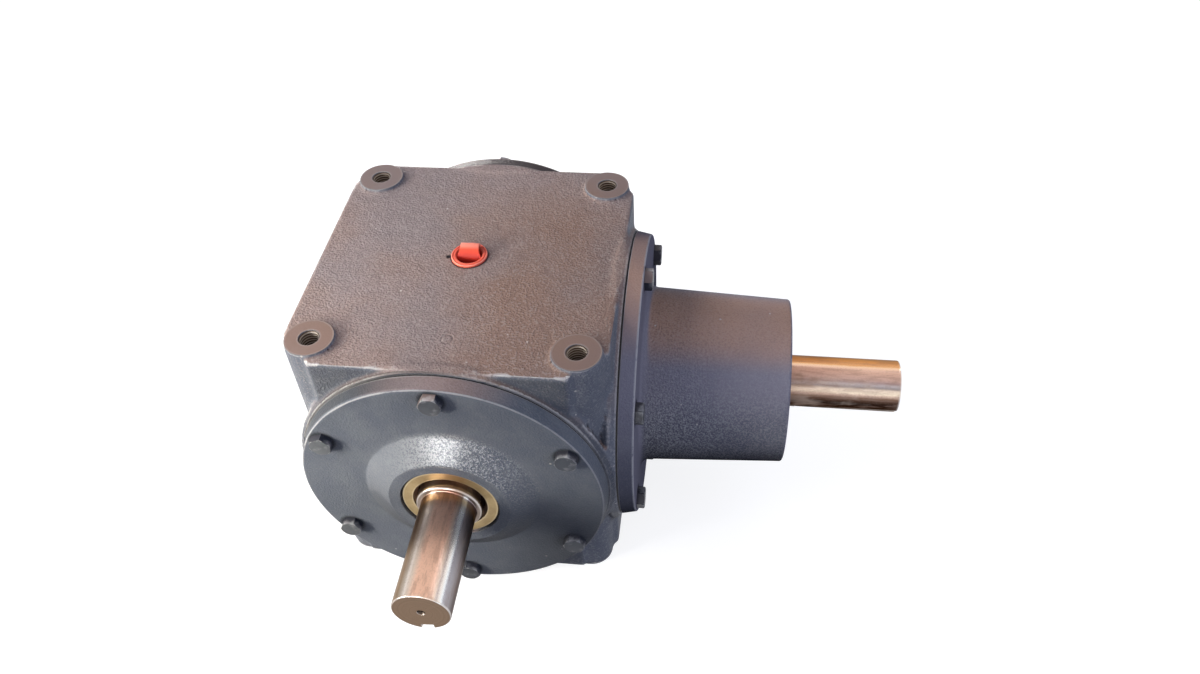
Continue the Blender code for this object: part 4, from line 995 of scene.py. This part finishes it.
def keyway(size, length, end, turn):
    floor = size["radius"] - size["keyDepth"]
    rise = math.acos(1 - (size["keyDepth"] + 1.5) / size["cutter"])
    outline = [(end + 2, floor)]
    for step in range(13):
        angle = rise * step / 12
        outline.append((
            end - length - size["cutter"] * math.sin(angle),
            floor + size["cutter"] * (1 - math.cos(angle))))
    outline.append((end + 2, size["radius"] + 1.5))
    bm = raised(outline, -size["keyWidth"] / 2, size["keyWidth"] / 2)
    lie = Matrix(((0, 1, 0, 0), (0, 0, 1, 0), (1, 0, 0, 0), (0, 0, 0, 1)))
    return cleaned(joined(bm, [Matrix.Rotation(math.radians(turn), 4, "Z") @ lie]))


def gearKeyway(size, seat):
    half = size["gearKeyWidth"] / 2
    outline = [(-half, seat - size["gearKeyDepth"]), (half, seat - size["gearKeyDepth"]), (half, seat + 2), (-half, seat + 2)]
    return raised(outline, size["gearKeyLow"], size["gearKeyHigh"])


def makeShafts(size):
    stop = size["gearFront"] - 0.25
    line = [
        (0, -size["rearEnd"]), (size["seat"], -size["rearEnd"], 0.9), (size["seat"], -size["gearBack"]),
        (size["gearSeat"], -size["gearBack"], 0.5), (size["gearSeat"], stop - size["stopWidth"]),
        (size["gearSeat"] + size["stopHeight"], stop - size["stopWidth"], 0.6),
        (size["gearSeat"] + size["stopHeight"], stop, 0.4), (size["gearSeat"], stop),
        (size["gearSeat"], size["gearBack"], 0.4), (size["seat"], size["gearBack"])]
    line += shaftEnd(size, size["outputCollar"], size["outputEnd"])
    bm = spun(line, size["sides"], closed=False)
    bm = cut(bm, keyway(size, size["outputKey"], size["outputEnd"], size["outputTurn"]))
    bm = cut(bm, gearKeyway(size, size["gearSeat"]))
    piece("outputShaftTurned", bm, frontSide, [outputSteel], "output", ["output_shaft"])
    groove = size["gearFront"] - size["ringWidth"]
    line = [
        (0, groove - size["tail"]), (size["inputGearSeat"], groove - size["tail"], 0.9),
        (size["inputGearSeat"], groove), (size["inputGearSeat"] - size["ring"], groove),
        (size["inputGearSeat"] - size["ring"], size["gearFront"]), (size["inputGearSeat"], size["gearFront"]),
        (size["inputGearSeat"], size["gearBack"]), (size["seat"], size["gearBack"], 0.5)]
    line += shaftEnd(size, size["inputCollar"], size["inputEnd"])
    bm = spun(line, size["sides"], closed=False)
    bm = cut(bm, keyway(size, size["inputKey"], size["inputEnd"], size["inputTurn"]))
    bm = cut(bm, gearKeyway(size, size["inputGearSeat"]))
    piece("inputShaftTurned", bm, rightSide, [inputSteel], "input", ["input_shaft"])


makeShafts(shaft)
print("shafts turned and keyed")


# Oil seals: a pressed case and a rubber lip

seal = {"width": 8.0, "faceInner": 23.3, "lipInner": 20.95, "shell": 1.2, "gap": 0.75}


def makeSeals(size):
    places = (
        ("output", frontSide, 30.94, 119.6, outputGold), ("input", rightSide, 37.22, 206.0, inputGold))
    for name, side, outer, face, gold in places:
        rim = outer - size["gap"]
        back = face - size["width"]
        case = spun([
            (rim, back), (rim, face, 0.5), (size["faceInner"], face, 0.45),
            (size["faceInner"], face - 2.6), (size["faceInner"] + size["shell"], face - 2.6),
            (size["faceInner"] + size["shell"], face - size["shell"]),
            (rim - size["shell"], face - size["shell"]), (rim - size["shell"], back)], 128)
        piece(name + "SealCase", case, side, [gold], "housing", [name + "_seal"])
        lip = spun([
            (size["faceInner"] + 1.1, face - 1.4), (size["faceInner"] + 0.1, face - 1.6, 0.3),
            (size["lipInner"], face - 4.4, 0.3), (size["faceInner"], face - 6.4, 0.4),
            (size["faceInner"] + 2.6, face - 5.6), (size["faceInner"] + 1.1, face - 2.4)], 128)
        piece(name + "SealLip", lip, side, [lipRubber], "housing")
        seat = spun([
            (rim + 0.03, back), (rim + 0.03, face - 1.1, 0.2), (outer, face - 1.1), (outer, back)], 128)
        piece(name + "SealJacket", seat, side, [gasketSheet], "housing")


makeSeals(seal)
print("seals pressed in")


# Shipping plug in the oil port

def makeFillPlug(size):
    # A flanged cup, and a strap that arches from the rear rim down to the front of the floor
    top = size["seat"] + size["rim"]
    bottom = size["seat"] - size["depth"]
    cup = spun([
        (0, bottom), (size["wall"], bottom, 0.6), (size["wall"], size["seat"]), (size["flange"], size["seat"], 0.3),
        (size["flange"], top, 0.6), (10.7, top, 0.2), (10.3, top - size["groove"], 0.2), (9.9, top, 0.2),
        (size["lip"], top, 0.4), (size["inner"], top - 1.2, 0.4),
        (size["inner"] - 0.2, bottom + size["floor"], 0.8), (0, bottom + size["floor"])], 72, closed=False)
    low = size["seat"] + size["rim"] / 2
    base = bottom + size["floor"] / 2
    crest = size["strapCrest"]
    outside, inside = [], []
    for line, skin in ((outside, 0), (inside, size["strapThick"])):
        high = top + size["strapRise"] - skin
        for step in range(25):
            angle = math.pi * step / 24
            if step <= 12:
                reach, foot = size["strapFoot"] - crest - skin, low
            else:
                reach, foot = crest + size["strapFront"] - skin, base
            line.append((crest + reach * math.cos(angle), foot + (high - foot) * math.sin(angle)))
    strap = raised(outside + inside[::-1], -size["strapHalf"], size["strapHalf"])
    for vert in strap.verts:
        # The front leg widens below the rim until it fills the cup
        if vert.co.x < crest:
            vert.co.z *= 1 + size["flare"] * min(max((top + size["flareTop"] - vert.co.y) / size["flareRun"], 0), 1)
    rims = [edge for edge in strap.edges if abs(edge.verts[0].co.z - edge.verts[1].co.z) < 0.01]
    bmesh.ops.bevel(
        strap, geom=rims, offset=0.3, offset_type="OFFSET", segments=2, profile=0.5, affect="EDGES",
        clamp_overlap=True, material=-1)
    stand = Matrix(((0, 0, 1, 0), (1, 0, 0, 0), (0, 1, 0, 0), (0, 0, 0, 1)))
    bm = cut(cup, joined(strap, [stand]), "UNION")
    place = toWorld @ Matrix.Translation((size["side"], size["back"], 0))
    piece("fillPlugMoulded", bm, place, [redPlastic], "housing", ["fill_plug"], sharp=40)


makeFillPlug(plug)


pipePlug = {"radius": 9.05, "inset": 0.6, "length": 8.5, "socket": 5.2, "socketDepth": 5.0}


def makePipePlugs(size):
    for name, side, face in (("drain", underSide, housing["castTop"]), ("level", leftSide, housing["half"])):
        high = face - size["inset"]
        bm = spun([
            (0, high - size["length"]), (size["radius"], high - size["length"], 0.8), (size["radius"], high, 0.7),
            (0, high)], 64, closed=False)
        socket = bmesh.new()
        corner = size["socket"] * 2 / math.sqrt(3)
        bmesh.ops.create_cone(
            socket, cap_ends=True, cap_tris=False, segments=6, radius1=corner, radius2=corner,
            depth=size["socketDepth"] + 1, matrix=Matrix.Translation((0, 0, high + 0.5 - size["socketDepth"] / 2)))
        bm = cut(bm, socket)
        mouth = spun([
            (0, high - 0.6), (corner - 0.35, high - 0.6), (corner + 0.6, high + 0.4), (0, high + 0.4)],
            48, closed=False)
        bm = cut(bm, mouth)
        piece(name + "PipePlug", bm, side, [plugSteel], "housing", [name + "_plug"])


makePipePlugs(pipePlug)
print("port plugs fitted")


# Inner pieces keep their solids and get their finishes

innerFinish = {
    "gear": gearSteel, "gear_key": machinedSteel, "gear_ring": machinedSteel, "spacer": machinedSteel,
    "locknut": machinedSteel, "cup": bearingSteel, "cone": bearingSteel, "rollers": cageSteel}
for name, node in frame["nodes"].items():
    for ending, finish in innerFinish.items():
        if name.endswith("_" + ending):
            node.data.materials.clear()
            node.data.materials.append(finish)
print("inner pieces finished")


# Floor, light and camera

studio = {
    "floor": 12.0, "floorColour": (0.34, 0.34, 0.34), "bounce": (0.15, 0.15, 0.17), "lift": (0.82, 0.82, 0.82),
    "ambient": 0.22, "air": (0.68, 0.86, 1.4, 1), "sky": (0.95, 0.8, 0.7),
    "lamps": {
        "key": {
            "at": (-0.55, -0.05, 0.5), "aim": (0, 0, 0.05), "size": (0.6, 0.6), "power": 4.3, "spread": 150,
            "colour": (1.0, 0.97, 0.93), "matte": True, "shiny": False},
        "frontLeft": {
            "at": (-0.46, -0.36, 0.17), "aim": (-0.13, -0.1, 0.03), "size": (0.22, 0.27), "power": 0.63, "spread": 44,
            "colour": (1.0, 0.94, 0.83), "matte": True, "shiny": True},
        "frontRight": {
            "at": (0.6, -0.5, 0.2), "aim": (0.12, -0.05, 0.03), "size": (0.3, 0.3), "power": 1.9, "spread": 180,
            "colour": (0.78, 0.82, 1.0), "matte": True, "shiny": False},
        "low": {
            "at": (-0.3, -1.15, 0.26), "aim": (-0.02, -0.11, 0.04), "size": (0.6, 0.26), "power": 1.0, "spread": 60,
            "colour": (0.98, 0.99, 1.0), "matte": False, "shiny": True},
        "over": {
            "at": (0.35, -0.2, 0.8), "aim": (0.1, 0, 0), "size": (0.85, 0.85), "power": 1.5, "spread": 180,
            "colour": (1.0, 0.97, 0.95), "matte": True, "shiny": False},
        "rear": {
            "at": (-0.5, 0.95, 0.0), "aim": (0, 0, 0), "size": (0.5, 0.15), "power": 7.0, "spread": 120,
            "colour": (1.0, 0.97, 0.93), "matte": True, "shiny": True},
        "rearLeft": {
            "at": (-1.0, 0.75, 0.5), "aim": (0, 0, 0), "size": (0.16, 0.8), "power": 0.45, "spread": 180,
            "colour": (1.0, 0.98, 0.96), "matte": True, "shiny": True},
        "rearRight": {
            "at": (0.9, 0.75, 0.75), "aim": (0, 0, 0), "size": (0.14, 0.8), "power": 1.1, "spread": 180,
            "colour": (0.9, 0.95, 1.0), "matte": True, "shiny": True}}}


def makeStudio(look):
    bm = bmesh.new()
    bmesh.ops.create_grid(bm, x_segments=1, y_segments=1, size=look["floor"])
    mesh = bpy.data.meshes.new("studioFloor")
    bm.to_mesh(mesh)
    bm.free()
    floor = bpy.data.objects.new("studioFloor", mesh)
    scene.collection.objects.link(floor)
    finish = bpy.data.materials.new("paleFloor")
    finish.use_nodes = True
    tree = finish.node_tree
    shader = tree.nodes["Principled BSDF"]
    shader.inputs["Roughness"].default_value = 0.9
    shader.inputs["Specular IOR Level"].default_value = 0.0
    wire = Wire(tree)
    seen = sum(wire.add("LightPath", out=index) for index in (0, 3, 6))
    seen = seen.maths("MINIMUM", seen, 1.0)
    shown = seen.blend(look["bounce"], look["floorColour"])
    tree.links.new(shown.socket, shader.inputs["Base Color"])
    far = wire.add("TexCoord", out=3).length().between(0.5, 1.3)
    glow = wire.add("Emission", Color=far.blend(look["lift"], (1.0, 1.0, 1.0)), Strength=seen)
    both = wire.add("AddShader", i0=Wire(tree, shader.outputs[0]), i1=glow)
    tree.links.new(both.socket, tree.nodes["Material Output"].inputs["Surface"])
    mesh.materials.append(finish)

    world = bpy.data.worlds.new("studioAir")
    scene.world = world
    world.use_nodes = True
    wire = Wire(world.node_tree)
    seen = sum(wire.add("LightPath", out=index) for index in (0, 3, 6))
    level = wire.add("TexCoord", out=0).part(2)
    sky = level.between(0.08, 0.4).blend((1.0, 1.0, 1.0), look["sky"])
    plain = Wire(world.node_tree, world.node_tree.nodes["Background"].outputs[0])
    world.node_tree.nodes["Background"].inputs["Color"].default_value = look["air"]
    world.node_tree.nodes["Background"].inputs["Strength"].default_value = look["ambient"]
    shown = wire.add("Background", Color=sky, Strength=1.0)
    mixed = wire.add("MixShader", i0=seen.maths("MINIMUM", seen, 1.0), i1=plain, i2=shown)
    world.node_tree.links.new(mixed.socket, world.node_tree.nodes["World Output"].inputs["Surface"])

    for name, lamp in look["lamps"].items():
        data = bpy.data.lights.new(name, "AREA")
        data.shape = "RECTANGLE"
        data.size, data.size_y = lamp["size"]
        data.energy = lamp["power"]
        data.spread = math.radians(lamp["spread"])
        data.color = lamp["colour"]
        obj = bpy.data.objects.new(name + "Lamp", data)
        obj.location = crossing + Vector(lamp["at"])
        obj.visible_camera = False
        obj.visible_diffuse = lamp["matte"]
        obj.visible_glossy = lamp["shiny"]
        towards = Vector(lamp["aim"]) - Vector(lamp["at"])
        obj.rotation_euler = towards.to_track_quat("-Z", "Y").to_euler()
        scene.collection.objects.link(obj)


makeStudio(studio)


view = {
    "lens": 29.704, "at": (0.15404, -0.46549, 0.50285), "right": (0.99253, 0.11510, -0.04033),
    "down": (0.05317, -0.70594, -0.70629), "forward": (-0.10976, 0.69887, -0.70679)}


def makeCamera(look):
    data = bpy.data.cameras.new("viewCamera")
    data.lens = look["lens"]
    data.sensor_width = 36
    data.sensor_fit = "HORIZONTAL"
    data.clip_start = 0.01
    camera = bpy.data.objects.new("viewCamera", data)
    scene.collection.objects.link(camera)
    axes = Matrix((look["right"], -Vector(look["down"]), -Vector(look["forward"]))).transposed()
    camera.matrix_world = Matrix.Translation(crossing + Vector(look["at"])) @ axes.to_4x4()
    scene.camera = camera


makeCamera(view)
print("studio and camera set")
